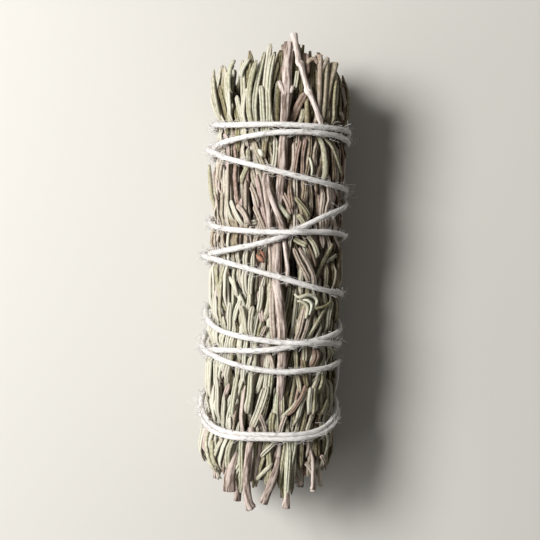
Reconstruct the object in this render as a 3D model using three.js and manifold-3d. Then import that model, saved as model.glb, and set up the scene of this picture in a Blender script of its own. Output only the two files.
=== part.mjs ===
// Smudge stick: dried rosemary stems laid side by side and bound criss-cross with cotton twine.
// Millimetres. The bundle lies along Y on the plane z = 0, and +Z is up.
import * as THREE from 'three';
import { mergeVertices } from 'three/addons/utils/BufferGeometryUtils.js';
import Module from 'manifold-3d';

const wasm = await Module();
wasm.setup();

// Bundle: half width and height of its section at the outermost leaves
const bundleHalfWidth = 15.2;
const bundleTop = 13.8;
const bundleBottom = 13.1;
const sectionPower = 2.3;
const twistAngle = 0.11;
const twistLength = 118;

// Stems laid side by side, each with a space of its own in the section
const sprigCount = 26;
const spaceRadius = 14.4;
const spaceGap = 0.34;
const outerShare = 0.6;
const outerTipHeight = 45.5;
const innerTipHeight = 46.5;
const outerCutHeight = 46;
const innerCutHeight = 48;
const heightSpread = 4;
const stemRootRadius = 0.9;
const stemTipRadius = 0.5;
const stemSides = 5;
const stemStations = 6;
const coreRadius = 1.75;
const stemInset = 1.3;
const stemSway = 0.3;
const swayLength = 9;
const leanLength = 13;
const bareCutEnd = 2;
const leafyTip = 9;
const turnedShare = 0.33;
const frontRight = [10, 100];

// The thick brown stem that shows along the middle of the front
const barkStemAngle = 82;
const barkStemRadius = 0.98;

// Leaves: the ways they face round a stem, from straight outward, and how many follow in each
const outerLanes = [[-45, 5], [0, 5], [45, 5], [-102, 2], [102, 2]];
const barkStemLanes = [[-50, 5], [50, 5], [-102, 2], [102, 2]];
const innerLanes = [[0, 1], [90, 1], [180, 1], [270, 1]];
const outerCrown = [-38, 38, 150];
const innerCrown = [45, 135, 225, 315];
const leafLength = 18.5;
const leafWidth = 1.18;
const leafThickness = 0.75;
const leafDrift = 0.3;
const leafJitter = 0.06;
const shortestLeaf = 0.88;
const narrowestLeaf = 0.88;
const shallowestLeaf = 0.92;
const crownStart = 0.95;

// A leaf from its root to its tip: share of its length, of its rise from the stem and of its turn
const leafStations = [[0.24, 0.72, 0.1], [0.58, 1, 0.5], [1, 0.97, 1]];

// Twine: where its centre line lies, and its clearance from the leaves
const twineRadius = 0.6;
const twineHalfWidth = 14.75;
const twineTop = 13.7;
const twineBottom = 12.3;
const twineSides = 5;
const twineStep = 6.0;
const clearance = 0.32;
const sideClearance = 0.25;
const shaveGap = 0.12;
const crossingLift = 1.0;
const crossingReach = 1.3;
const crossingEase = 4;
const routeSteps = 2400;
const sampleStep = 0.6;
const samplesApart = 30;
const tubeSteps = 26;
const tubeOverlap = 0.3;

// Height along the bundle of each pass over the front, in winding order:
// at the left edge, left front, middle, right front and right edge
const frontPasses = [
  [-28.4, -33.2, -33.5, -32.6, -28.2],
  [-17.9, -17.1, -16.3, -13.7, -11.4],
  [2.4, 3.9, 6.8, 12.3, 15.5],
  [25.2, 27.1, 28.9, 29.2, 28.6],
  [31.2, 30.3, 30.5, 30.6, 30.8],
  [26.2, 23.1, 20.7, 18.8, 18.0],
  [10.3, 8.4, 8.1, 8.7, 8.2],
  [3.0, 1.4, -1.0, -3.5, -4.4],
  [-9.2, -13.1, -14.6, -14.6, -15.2],
  [-15.1, -19.0, -20.8, -20.1, -19.0],
  [-29.8, -34.5, -34.8, -33.9, -29.4],
];
const passAngles = [180, 135, 90, 45, 0];
const firstUnderside = [[-90, -27.8], [-135, -27.6]];
const undersideFrom = 0.3;
const undersideTo = 0.7;

// Knot low on the right, where the first and last turns meet, and the two ends that leave it:
// angle, height and how far each point lies above the turns
const knotAngle = -34;
const knotHeight = -29;
const knotLift = 0.6;
const knotRadius = 1.1;
const knotSlant = 0.5;
const knotSides = 8;
const endOffset = 0.4;
const knotTails = [
  [[-34, -29.0, 0.6], [-27, -26.6, 1.25], [-22, -23.2, 1.2], [-21, -19.6, 1.0]],
  [[-34, -29.0, 0.6], [-31, -32.0, 1.25], [-34, -35.0, 1.2], [-33, -38.2, 1.0]],
];

// Bare twig on the front at the upper end: angle round the bundle and height of its points
const twigRadius = 0.68;
const twigTuckHeight = 34;
const twigSides = 6;
const twigPoints = [
  [82.5, 49.6],
  [75.0, 43.5],
  [66.5, 38.0],
  [52.5, 32.4],
  [47.0, 28.5],
];

const leafColors = [0x7f7a5c, 0x8b8663, 0x77704f, 0x94907a, 0x6f6a4a, 0x857a58];
const twigColor = 0x8a6d5c;
const twineColor = 0xd8d0c6;
const degree = Math.PI / 180;

function seededRandom(seed) {
  let state = seed;
  return () => {
    state = (state + 0x6d2b79f5) | 0;
    let t = Math.imul(state ^ (state >>> 15), 1 | state);
    t = (t + Math.imul(t ^ (t >>> 7), 61 | t)) ^ t;
    return ((t ^ (t >>> 14)) >>> 0) / 4294967296;
  };
}

// Radius of a rounded section with a flat underside, at an angle from +X towards +Z
function sectionRadius(angle, halfWidth, top, bottom) {
  const across = Math.abs(Math.cos(angle)) / halfWidth;
  const up = Math.abs(Math.sin(angle)) / top;
  const round = (across ** sectionPower + up ** sectionPower) ** (-1 / sectionPower);
  const flat = Math.sin(angle) < 0 ? bottom / -Math.sin(angle) : Infinity;
  return Math.min(round, flat);
}

const leafOutline = (angle) => sectionRadius(angle, bundleHalfWidth, bundleTop, bundleBottom);
const twineOutline = (angle) => sectionRadius(angle, twineHalfWidth, twineTop, twineBottom);
const twistAt = (height) => twistAngle * Math.sin((2 * Math.PI * height) / twistLength);

function onBundle(angle, height, radius) {
  return new THREE.Vector3(
    radius * Math.cos(angle),
    height,
    bundleBottom + radius * Math.sin(angle),
  );
}

// The round space the stems share becomes the bundle's section, with a slight twist along it
function fromSpace(point) {
  const angle = Math.atan2(point.z, point.x) + twistAt(point.y);
  const radius = (Math.hypot(point.x, point.z) * leafOutline(angle)) / spaceRadius;
  return onBundle(angle, point.y, radius);
}

// Closed solid through rings of points, each ring with the same count or a single point
function loft(rings) {
  const positions = [];
  const index = [];
  const starts = rings.map((ring) => {
    const start = positions.length / 3;
    ring.forEach((point) => positions.push(point.x, point.y, point.z));
    return start;
  });
  for (let k = 0; k + 1 < rings.length; k += 1) {
    const near = rings[k];
    const far = rings[k + 1];
    const sides = Math.max(near.length, far.length);
    for (let i = 0; i < sides; i += 1) {
      const j = (i + 1) % sides;
      const a = starts[k] + (near.length > 1 ? i : 0);
      const b = starts[k] + (near.length > 1 ? j : 0);
      const c = starts[k + 1] + (far.length > 1 ? i : 0);
      const d = starts[k + 1] + (far.length > 1 ? j : 0);
      if (a !== b) {
        index.push(a, b, c);
      }
      if (c !== d) {
        index.push(b, d, c);
      }
    }
  }
  [0, rings.length - 1].forEach((k) => {
    for (let i = 1; i + 1 < rings[k].length; i += 1) {
      const pair = k === 0 ? [i + 1, i] : [i, i + 1];
      index.push(starts[k], starts[k] + pair[0], starts[k] + pair[1]);
    }
  });
  const geometry = new THREE.BufferGeometry();
  geometry.setAttribute('position', new THREE.Float32BufferAttribute(positions, 3));
  geometry.setIndex(index);
  return geometry;
}

function toSolid(geometry) {
  const bare = geometry.clone();
  bare.deleteAttribute('normal');
  bare.deleteAttribute('uv');
  const merged = mergeVertices(bare, 1e-5);
  const solid = new wasm.Manifold(new wasm.Mesh({
    numProp: 3,
    vertProperties: new Float32Array(merged.attributes.position.array),
    triVerts: new Uint32Array(merged.index.array),
  }));
  return solid;
}

function toGeometry(solid) {
  const mesh = solid.getMesh();
  const geometry = new THREE.BufferGeometry();
  geometry.setAttribute('position', new THREE.BufferAttribute(mesh.vertProperties, 3));
  geometry.setIndex(new THREE.BufferAttribute(mesh.triVerts, 1));
  geometry.computeVertexNormals();
  return geometry;
}

// The one body of a solid, without a loose scrap or a sealed hollow
function mainBody(solid) {
  return solid.decompose().reduce((largest, body) => (
    body.volume() > largest.volume() ? body : largest
  ));
}

// Joins solids in pairs to one body
function fuse(solids) {
  let parts = solids;
  while (parts.length > 1) {
    const joined = [];
    for (let i = 0; i < parts.length; i += 2) {
      joined.push(i + 1 < parts.length ? parts[i].add(parts[i + 1]) : parts[i]);
    }
    parts = joined;
  }
  return mainBody(parts[0]);
}

// Shaves a solid where it comes too close to its neighbours
function shave(solid, neighbours) {
  const near = neighbours.filter((neighbour) => solid.intersect(neighbour).volume() > 0);
  return mainBody(near.reduce((rest, neighbour) => rest.subtract(neighbour), solid));
}

// Twine

// Angle and height of the twine's centre line, from the knot round all passes and back to it
function twineRoute() {
  const route = [];
  frontPasses.forEach((pass, turn) => {
    if (turn === 0) {
      route.push([knotAngle, knotHeight + endOffset], ...firstUnderside);
    } else {
      const before = frontPasses[turn - 1][4];
      const step = (pass[0] - before) / 4;
      route.push([-45, before + step], [-90, before + 2 * step], [-135, before + 3 * step]);
    }
    pass.forEach((height, i) => route.push([passAngles[i], height]));
  });
  route.push([knotAngle, knotHeight - endOffset]);
  let turned = 0;
  let last = route[0][0];
  return route.map(([angle, height]) => {
    while (angle + turned > last) {
      turned -= 360;
    }
    last = angle + turned;
    return new THREE.Vector2(last * degree, height);
  });
}

// A peak in the values, eased off to both sides
function softened(values, i) {
  let highest = 0;
  for (let j = -crossingEase; j <= crossingEase; j += 1) {
    const value = values[Math.min(values.length - 1, Math.max(0, i + j))];
    const share = Math.cos((j / (crossingEase + 1)) * Math.PI * 0.5);
    highest = Math.max(highest, value * share);
  }
  return highest;
}

// Evenly spaced points of the route. A pass is lifted where it lies over an earlier one, and on
// the underside the earlier one is pressed in instead.
function twinePoints() {
  const curve = new THREE.SplineCurve(twineRoute());
  const onRoute = curve.getPoints(routeSteps);
  const angles = onRoute.map((at) => at.x);
  const fine = onRoute.map((at) => onBundle(at.x, at.y, twineOutline(at.x)));
  const length = [0];
  fine.forEach((point, i) => {
    if (i > 0) {
      length.push(length[i - 1] + point.distanceTo(fine[i - 1]));
    }
  });
  const total = length[length.length - 1];
  const count = Math.round(total / sampleStep);
  const samples = [];
  let k = 0;
  for (let i = 0; i <= count; i += 1) {
    const wanted = (total * i) / count;
    while (k + 2 < length.length && length[k + 1] < wanted) {
      k += 1;
    }
    const share = (wanted - length[k]) / (length[k + 1] - length[k]);
    samples.push({
      point: fine[k].clone().lerp(fine[k + 1], share),
      angle: angles[k] + (angles[k + 1] - angles[k]) * share,
    });
  }
  const lift = samples.map(() => 0);
  const dip = samples.map(() => 0);
  samples.forEach((sample, i) => {
    const down = -Math.sin(sample.angle);
    const underside = THREE.MathUtils.smoothstep(down, undersideFrom, undersideTo);
    for (let j = 0; j < i - samplesApart; j += 1) {
      const distance = sample.point.distanceTo(samples[j].point);
      if (distance < crossingReach) {
        const height = crossingLift * (1 - (distance / crossingReach) ** 2);
        lift[i] = Math.max(lift[i], height * (1 - underside));
        dip[j] = Math.max(dip[j], height * underside);
      }
    }
  });
  samples.forEach((sample, i) => {
    const outline = twineOutline(sample.angle);
    sample.depth = softened(dip, i);
    sample.radius = outline + softened(lift, i) - sample.depth;
    sample.point = onBundle(sample.angle, sample.point.y, sample.radius);
  });
  return samples;
}

const twine = twinePoints();

function samplesOf(route, size, count = 60) {
  return new THREE.CatmullRomCurve3(route).getPoints(count).map((point) => ({
    point,
    angle: Math.atan2(point.z - bundleBottom, point.x),
    radius: Math.hypot(point.x, point.z - bundleBottom),
    size,
  }));
}

function pointAbove(angle, height, above) {
  const turn = angle * degree;
  return onBundle(turn, height, twineOutline(turn) + above);
}

// The bare twig lies on the leaves, and its lower end passes under the twine
const twigRoute = twigPoints.map(([angle, height]) => {
  const turn = angle * degree;
  const underTwine = twineOutline(turn) - twineRadius - clearance - twigRadius;
  return onBundle(turn, height, height < twigTuckHeight ? underTwine : leafOutline(turn) - twigRadius);
});

// What the leaves stay below: the twine and the bare twig
const twigSamples = samplesOf(twigRoute, twigRadius);
const twineSamples = twine.map((sample) => ({
  point: sample.point,
  angle: sample.angle,
  radius: twineOutline(sample.angle) - sample.depth,
  size: twineRadius,
}));
const knotPoint = pointAbove(knotAngle, knotHeight, knotLift);
const tailRoutes = knotTails.map((tail) => tail.map(([angle, height, above]) => (
  pointAbove(angle, height, above)
)));
const tailSamples = tailRoutes.flatMap((route) => samplesOf(route, twineRadius));
const knotSamples = samplesOf([knotPoint, knotPoint], knotRadius + twineRadius, 1);
const obstacles = [...twineSamples, ...twigSamples, ...tailSamples, ...knotSamples];

function tube(points, radius, sides) {
  const section = new THREE.Shape();
  for (let i = 0; i < sides; i += 1) {
    const turn = (2 * Math.PI * i) / sides;
    const x = radius * Math.cos(turn);
    const y = radius * Math.sin(turn);
    if (i === 0) {
      section.moveTo(x, y);
    } else {
      section.lineTo(x, y);
    }
  }
  const path = new THREE.CatmullRomCurve3(points);
  const steps = points.length - 1;
  return new THREE.ExtrudeGeometry(section, { steps, extrudePath: path, bevelEnabled: false });
}

// Loop of the knot, round both ends where they cross
function makeKnot(radius) {
  const loop = new THREE.TorusGeometry(knotRadius, radius, twineSides, knotSides);
  const turn = knotAngle * degree;
  const along = new THREE.Vector3(-Math.sin(turn), knotSlant, Math.cos(turn)).normalize();
  loop.applyQuaternion(new THREE.Quaternion().setFromUnitVectors(new THREE.Vector3(0, 0, 1), along));
  loop.translate(knotPoint.x, knotPoint.y, knotPoint.z);
  return loop;
}

function makeTwine(radius) {
  const stride = Math.round(twineStep / sampleStep);
  const picked = twine.filter((_, i) => i % stride === 0).map((sample) => sample.point);
  const solids = [];
  for (let start = 0; start < picked.length - 1; start += tubeSteps) {
    const stretch = picked.slice(start, start + tubeSteps + 1);
    if (stretch.length < 2) {
      break;
    }
    const end = stretch[stretch.length - 1];
    const ahead = end.clone().sub(stretch[stretch.length - 2]).setLength(tubeOverlap);
    stretch.push(end.clone().add(ahead));
    solids.push(toSolid(tube(stretch, radius, twineSides)));
  }
  tailRoutes.forEach((route) => solids.push(toSolid(tube(route, radius, twineSides))));
  solids.push(toSolid(makeKnot(radius)));
  return fuse(solids);
}

// Leafy stems

// Points spread evenly through the round space by moving each to the middle of what is nearest
function spreadSites(random) {
  const sites = [];
  while (sites.length < sprigCount) {
    const angle = random() * 2 * Math.PI;
    const radius = spaceRadius * Math.sqrt(random());
    sites.push(new THREE.Vector2(radius * Math.cos(angle), radius * Math.sin(angle)));
  }
  const grid = 0.5;
  for (let round = 0; round < 40; round += 1) {
    const sums = sites.map(() => [0, 0, 0]);
    for (let x = -spaceRadius; x <= spaceRadius; x += grid) {
      for (let z = -spaceRadius; z <= spaceRadius; z += grid) {
        if (Math.hypot(x, z) < spaceRadius) {
          let best = 0;
          sites.forEach((site, i) => {
            if (Math.hypot(site.x - x, site.y - z) < Math.hypot(sites[best].x - x, sites[best].y - z)) {
              best = i;
            }
          });
          sums[best][0] += x;
          sums[best][1] += z;
          sums[best][2] += 1;
        }
      }
    }
    sites.forEach((site, i) => site.set(sums[i][0] / sums[i][2], sums[i][1] / sums[i][2]));
  }
  return sites.sort((a, b) => b.length() - a.length());
}

// Straight walls of a stem's own space, halfway to each neighbour
function wallsOf(site, sites) {
  return sites.filter((other) => other !== site).map((other) => {
    const away = other.clone().sub(site);
    return { normal: away.clone().normalize(), offset: away.length() / 2 - spaceGap / 2 };
  });
}

// Highest radius in the round space that a leaf may reach at a place
function freeRadius(angle, height) {
  const real = angle + twistAt(height);
  const outline = leafOutline(real);
  let limit = outline;
  obstacles.forEach((obstacle) => {
    const along = obstacle.point.y - height;
    const reach = obstacle.size + leafWidth / 2 + sideClearance;
    if (Math.abs(along) < reach) {
      let turn = (obstacle.angle - real) % (2 * Math.PI);
      if (turn > Math.PI) {
        turn -= 2 * Math.PI;
      }
      if (turn < -Math.PI) {
        turn += 2 * Math.PI;
      }
      if (Math.hypot(along, turn * outline) < reach) {
        limit = Math.min(limit, obstacle.radius - obstacle.size - clearance);
      }
    }
  });
  return (limit * spaceRadius) / outline;
}

// Lowers the stations of a leaf until every stretch passes below twine and twigs
function settle(stations, thickness) {
  for (let round = 0; round < 8; round += 1) {
    let worst = 0;
    for (let k = 0; k + 1 < stations.length; k += 1) {
      const a = stations[k];
      const b = stations[k + 1];
      for (let i = 0; i <= 8; i += 1) {
        const s = i / 8;
        const p = a.clone().lerp(b, s);
        const radius = Math.hypot(p.x, p.z);
        const free = freeRadius(Math.atan2(p.z, p.x), p.y);
        const excess = radius + thickness / 2 - free;
        if (excess > 0.01) {
          worst = Math.max(worst, excess);
          const lowerA = k === 0 ? 0 : 1 - s;
          const lowerB = s;
          const share = excess / Math.max(0.2, lowerA * lowerA + lowerB * lowerB);
          const inward = new THREE.Vector3(p.x, 0, p.z).setLength(share);
          a.addScaledVector(inward, -lowerA);
          b.addScaledVector(inward, -lowerB);
        }
      }
    }
    if (worst < 0.02) {
      break;
    }
  }
}

function keepInside(corners, site, walls) {
  for (let round = 0; round < 4; round += 1) {
    walls.forEach((wall) => {
      let over = 0;
      corners.forEach((corner) => {
        const reach = (corner.x - site.x) * wall.normal.x + (corner.z - site.y) * wall.normal.y;
        over = Math.max(over, reach - wall.offset);
      });
      corners.forEach((corner) => {
        corner.x -= wall.normal.x * over;
        corner.z -= wall.normal.y * over;
      });
    });
  }
}

// Three-sided ring of a leaf, its ridge away from the stem
function leafRing(center, site, walls, width, thickness) {
  const outward = new THREE.Vector2(center.x - 0.75 * site.x, center.z - 0.75 * site.y).normalize();
  const corners = [[0, 0.5], [-0.5, -0.5], [0.5, -0.5]].map(([across, up]) => new THREE.Vector3(
    center.x + outward.x * up * thickness - outward.y * across * width,
    center.y,
    center.z + outward.y * up * thickness + outward.x * across * width,
  ));
  keepInside(corners, site, walls);
  return corners.map(fromSpace);
}

function wallDistance(site, walls, direction, width, thickness) {
  let distance = Infinity;
  walls.forEach((wall) => {
    const toward = direction.x * wall.normal.x + direction.y * wall.normal.y;
    if (toward > 0.02) {
      const across = Math.abs(direction.x * wall.normal.y - direction.y * wall.normal.x);
      const room = wall.offset - (thickness / 2) * toward - (width / 2) * across;
      distance = Math.min(distance, Math.max(0.4, room / toward));
    }
  });
  const forward = site.x * direction.x + site.y * direction.y;
  const edge = spaceRadius - thickness / 2;
  const outer = -forward + Math.sqrt(forward * forward + edge * edge - site.lengthSq());
  return Math.min(distance, outer);
}

function stemCenter(sprig, height) {
  const sway = sprig.sway * Math.sin(height / swayLength + sprig.phase);
  const lean = sprig.sway * Math.cos(height / leanLength + 2 * sprig.phase);
  return new THREE.Vector3(
    sprig.site.x + sprig.offset.x + sway,
    height,
    sprig.site.y + sprig.offset.y + lean,
  );
}

// Bare at the cut end and the tip, and between them as thick as the leaf roots crowd it
function makeStem(sprig) {
  const rings = [];
  for (let k = 0; k <= stemStations; k += 1) {
    const share = k / stemStations;
    const height = sprig.cut + (sprig.stemTip - sprig.cut) * share;
    const center = stemCenter(sprig, height);
    const bare = sprig.girth + (stemTipRadius - sprig.girth) * share;
    const leafy = k > 0 && k < stemStations;
    const radius = leafy ? Math.max(sprig.core, bare) : bare;
    const corners = [];
    for (let i = 0; i < stemSides; i += 1) {
      const turn = (2 * Math.PI * i * sprig.sign) / stemSides;
      corners.push(new THREE.Vector3(
        center.x + radius * Math.sin(turn),
        height,
        center.z + radius * Math.cos(turn),
      ));
    }
    keepInside(corners, sprig.site, sprig.walls);
    rings.push(corners.map(fromSpace));
  }
  return loft(rings);
}

function makeLeaf(sprig, lane, share, random) {
  const rootHeight = sprig.firstLeaf + (sprig.stemTip - sprig.firstLeaf) * share;
  const nearTip = Math.max(0, share - 0.8) / 0.2;
  const length = leafLength * (shortestLeaf + 0.24 * random()) * (1 - 0.35 * nearTip);
  const width = leafWidth * (narrowestLeaf + 0.3 * random());
  const angle = sprig.facing + lane * degree + leafJitter * (random() - 0.5);
  const drift = sprig.drift + leafJitter * (random() - 0.5);
  const depth = shallowestLeaf + (1 - shallowestLeaf) * random();
  const root = stemCenter(sprig, rootHeight);
  const stations = [root];
  leafStations.forEach(([along, rise, turn]) => {
    const way = new THREE.Vector2(Math.cos(angle + drift * turn), Math.sin(angle + drift * turn));
    const reach = wallDistance(sprig.site, sprig.walls, way, width, leafThickness);
    const radius = reach * rise * depth;
    stations.push(new THREE.Vector3(
      sprig.site.x + way.x * radius,
      rootHeight + sprig.sign * length * along,
      sprig.site.y + way.y * radius,
    ));
  });
  settle(stations, leafThickness);
  const rings = stations.map((station, k) => {
    if (k === 0 || k === stations.length - 1) {
      const point = [station.clone()];
      keepInside(point, sprig.site, sprig.walls);
      return point.map(fromSpace);
    }
    const wide = k === 1 ? 0.85 : 1;
    return leafRing(station, sprig.site, sprig.walls, width * wide, leafThickness);
  });
  if (sprig.sign < 0) {
    rings.forEach((ring) => ring.reverse());
  }
  return loft(rings);
}

function makeSprig(sprig, random) {
  const solids = [toSolid(makeStem(sprig))];
  sprig.lanes.forEach(([lane, count], order) => {
    const stagger = (order * 0.618 + sprig.phase) % 1;
    for (let i = 0; i < count; i += 1) {
      const share = (i + 0.1 + 0.8 * stagger + 0.1 * random()) / count;
      solids.push(toSolid(makeLeaf(sprig, lane, share, random)));
    }
  });
  sprig.crown.forEach((lane) => {
    const share = crownStart + (1 - crownStart) * random();
    solids.push(toSolid(makeLeaf(sprig, lane, share, random)));
  });
  return fuse(solids);
}

// Turns the spread so that one stem lies where the brown stem shows on the front
function placeSites(random) {
  const sites = spreadSites(random);
  const wanted = barkStemAngle * degree;
  const outer = sites.filter((site) => site.length() > outerShare * spaceRadius);
  const nearest = outer.reduce((best, site) => (
    Math.abs(site.angle() - wanted) < Math.abs(best.angle() - wanted) ? site : best
  ));
  const turn = wanted - nearest.angle();
  const middle = new THREE.Vector2(0, 0);
  sites.forEach((site) => site.rotateAround(middle, turn));
  return { sites, barkSite: nearest };
}

// Stems on the right of the front lie with their cut ends up, as does a third of the rest
function planSprigs(random) {
  const { sites, barkSite } = placeSites(random);
  return sites.map((site) => {
    const facing = Math.atan2(site.y, site.x);
    const outer = site.length() > outerShare * spaceRadius;
    const bark = site === barkSite;
    const front = facing > frontRight[0] * degree && facing < frontRight[1] * degree;
    const turned = random() < turnedShare;
    const sign = (outer && front) || turned ? -1 : 1;
    const tipHeight = (outer ? outerTipHeight : innerTipHeight) + heightSpread * (random() - 0.5);
    const cutHeight = (outer ? outerCutHeight : innerCutHeight) + heightSpread * (random() - 0.5);
    const cut = -sign * (bark ? innerCutHeight : cutHeight);
    const girth = stemRootRadius * (0.85 + 0.3 * random());
    const barkRadius = (twineOutline(facing) - twineRadius - clearance - barkStemRadius)
      * (spaceRadius / leafOutline(facing));
    const sideways = bark ? barkRadius - site.length() : -stemInset;
    return {
      site,
      facing,
      outer,
      sign,
      cut,
      stemTip: sign * (tipHeight - leafyTip),
      firstLeaf: cut + sign * bareCutEnd,
      lanes: outer ? outerLanes : innerLanes,
      crown: outer ? outerCrown : innerCrown,
      walls: wallsOf(site, sites),
      phase: random() * 6,
      drift: leafDrift * (random() - 0.5) * 2,
      girth: bark ? barkStemRadius : girth,
      sway: bark ? 0 : stemSway,
      core: bark ? 0 : coreRadius,
      offset: site.clone().setLength(outer ? sideways : 0),
      ...(bark ? { lanes: barkStemLanes } : {}),
    };
  });
}

function makeTwig(radius) {
  return toSolid(tube(twigRoute, radius, twigSides));
}

function addMesh(group, name, solid, color, roughness) {
  const material = new THREE.MeshStandardMaterial({ color, roughness, metalness: 0 });
  const mesh = new THREE.Mesh(toGeometry(solid), material);
  mesh.name = name;
  group.add(mesh);
}

const group = new THREE.Group();
const random = seededRandom(22);
const bound = [makeTwine(twineRadius + shaveGap), makeTwig(twigRadius + shaveGap)];
planSprigs(random).forEach((sprig, i) => {
  const solid = shave(makeSprig(sprig, random), bound);
  const name = `sprig_${String(i + 1).padStart(2, '0')}`;
  addMesh(group, name, solid, leafColors[i % leafColors.length], 0.85);
});
addMesh(group, 'bare_twig', makeTwig(twigRadius), twigColor, 0.8);
addMesh(group, 'twine', makeTwine(twineRadius), twineColor, 0.95);

// The origin is the middle of the underside
const box = new THREE.Box3().setFromObject(group);
group.position.set(-(box.min.x + box.max.x) / 2, -(box.min.y + box.max.y) / 2, -box.min.z);

export default group;
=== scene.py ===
import math

import bpy
import numpy as np
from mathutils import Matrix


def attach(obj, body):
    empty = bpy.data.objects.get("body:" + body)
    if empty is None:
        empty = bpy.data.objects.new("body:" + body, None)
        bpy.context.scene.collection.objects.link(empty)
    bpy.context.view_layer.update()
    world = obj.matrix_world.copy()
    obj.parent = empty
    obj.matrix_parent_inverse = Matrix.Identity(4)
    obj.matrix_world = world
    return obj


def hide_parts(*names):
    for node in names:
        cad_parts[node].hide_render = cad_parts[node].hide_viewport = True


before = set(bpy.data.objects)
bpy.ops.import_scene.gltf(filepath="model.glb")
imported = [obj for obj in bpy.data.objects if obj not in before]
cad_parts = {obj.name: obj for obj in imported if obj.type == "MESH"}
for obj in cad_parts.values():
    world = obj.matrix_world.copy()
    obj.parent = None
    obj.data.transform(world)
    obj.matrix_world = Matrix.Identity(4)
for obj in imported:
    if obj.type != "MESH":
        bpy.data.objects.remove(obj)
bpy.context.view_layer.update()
scene = bpy.context.scene
draw = np.random.default_rng(11)

# The bundle's axis in the frame, its rounded section and how deep the outer leaves are stacked
bundle = {
    "axisX": 0.197,
    "middleY": 0.101,
    "axisZ": 13.146,
    "halfWidth": 15.1,
    "top": 13.75,
    "bottom": 13.1,
    "power": 2.3,
    "twist": 0.11,
    "twistLength": 118,
    "leafDepth": 3.9,
    "leafTop": 0.3,
    "outlineSteps": 2880,
    "sideFrom": (0.4, 0.9),
    "spreadAbove": {"from": (31.5, 38), "right": 0.3, "left": 1.4},
    "spreadBelow": {"from": (33, 40), "right": 0.2, "left": 0.6},
}


def sectionRadius(angle, halfWidth, top, bottom):
    across = np.abs(np.cos(angle)) / halfWidth
    up = np.abs(np.sin(angle)) / top
    rounded = (across ** bundle["power"] + up ** bundle["power"]) ** (-1 / bundle["power"])
    flat = bottom / np.maximum(-np.sin(angle), 1e-6)
    return np.minimum(rounded, flat)


def crest(angle):
    return sectionRadius(angle, bundle["halfWidth"], bundle["top"], bundle["bottom"])


def twistAt(along):
    return bundle["twist"] * np.sin(2 * np.pi * along / bundle["twistLength"])


def onBundle(angle, along, radius):
    x = bundle["axisX"] + radius * np.cos(angle)
    y = bundle["middleY"] + along
    z = bundle["axisZ"] + radius * np.sin(angle)
    return np.stack(np.broadcast_arrays(x, y, z), axis=-1)


# The outline unrolled: arc runs from the underside up the right side, over the front to the left
tableAngles = np.linspace(-0.5 * np.pi, 1.5 * np.pi, bundle["outlineSteps"] + 1)
tablePoints = onBundle(tableAngles, 0, crest(tableAngles))
tableArcs = np.concatenate([[0], np.cumsum(np.linalg.norm(np.diff(tablePoints, axis=0), axis=1))])
girth = tableArcs[-1]


def angleAt(arc):
    return np.interp(np.mod(arc, girth), tableArcs, tableAngles)


def arcAt(angle):
    turned = np.mod(angle + 0.5 * np.pi, 2 * np.pi) - 0.5 * np.pi
    return np.interp(turned, tableAngles, tableArcs)


# Arc of a place on the front that lies x to the right of the axis
frontAngles = np.linspace(0, np.pi, bundle["outlineSteps"] // 4 + 1)
frontAcross = crest(frontAngles) * np.cos(frontAngles)


def arcOver(x):
    return arcAt(np.interp(-np.asarray(x), -frontAcross, frontAngles))


def unit(vectors):
    return vectors / np.maximum(np.linalg.norm(vectors, axis=-1, keepdims=True), 1e-9)


def outwardOf(path, alongs):
    return unit(path - onBundle(0, alongs, 0.0))


def smoothStep(value, low, high):
    share = np.clip((value - low) / (high - low), 0, 1)
    return share * share * (3 - 2 * share)


def neighbours(values, reach):
    # The values moved by every whole step up to the reach, both ways
    padded = np.pad(values, reach, mode="edge")
    return [padded[k:k + len(values)] for k in range(2 * reach + 1)]


# Mesh making

def tubePart(path, radius, sides, outward, finish, tone, seed=0.0, ridges=None):
    # Closed tube along a path, with its first side turned outward; finish is that of side and caps
    path = np.asarray(path, float)
    count = len(path)
    tangent = unit(np.gradient(path, axis=0))
    side = unit(np.cross(outward, tangent))
    up = np.cross(tangent, side)
    turn = np.linspace(0, 2 * np.pi, sides, endpoint=False)
    reach = np.broadcast_to(np.asarray(radius, float).reshape(-1, 1), (count, sides)).copy()
    along = np.concatenate([[0], np.cumsum(np.linalg.norm(np.diff(path, axis=0), axis=1))])
    if ridges is not None:
        reach = reach * ridges(turn[None, :], along[:, None])
    ring = np.cos(turn)[None, :, None] * side[:, None] + np.sin(turn)[None, :, None] * up[:, None]
    points = path[:, None] + reach[..., None] * ring
    grid = np.arange(count * sides).reshape(count, sides)
    nextGrid = np.roll(grid, -1, axis=1)
    quads = np.stack([grid[:-1], nextGrid[:-1], nextGrid[1:], grid[1:]], axis=-1).reshape(-1, 4)
    caps = np.stack([grid[0][::-1], grid[-1]])
    place = np.stack([
        np.broadcast_to(turn * np.mean(reach), (count, sides)),
        np.broadcast_to(along[:, None], (count, sides)),
        np.full((count, sides), seed),
    ], axis=-1)
    return {
        "points": points.reshape(-1, 3),
        "faces": [quads, caps],
        "finish": finish,
        "place": place.reshape(-1, 3),
        "tone": np.broadcast_to(np.asarray(tone, float), (count * sides, 3)),
    }


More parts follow.
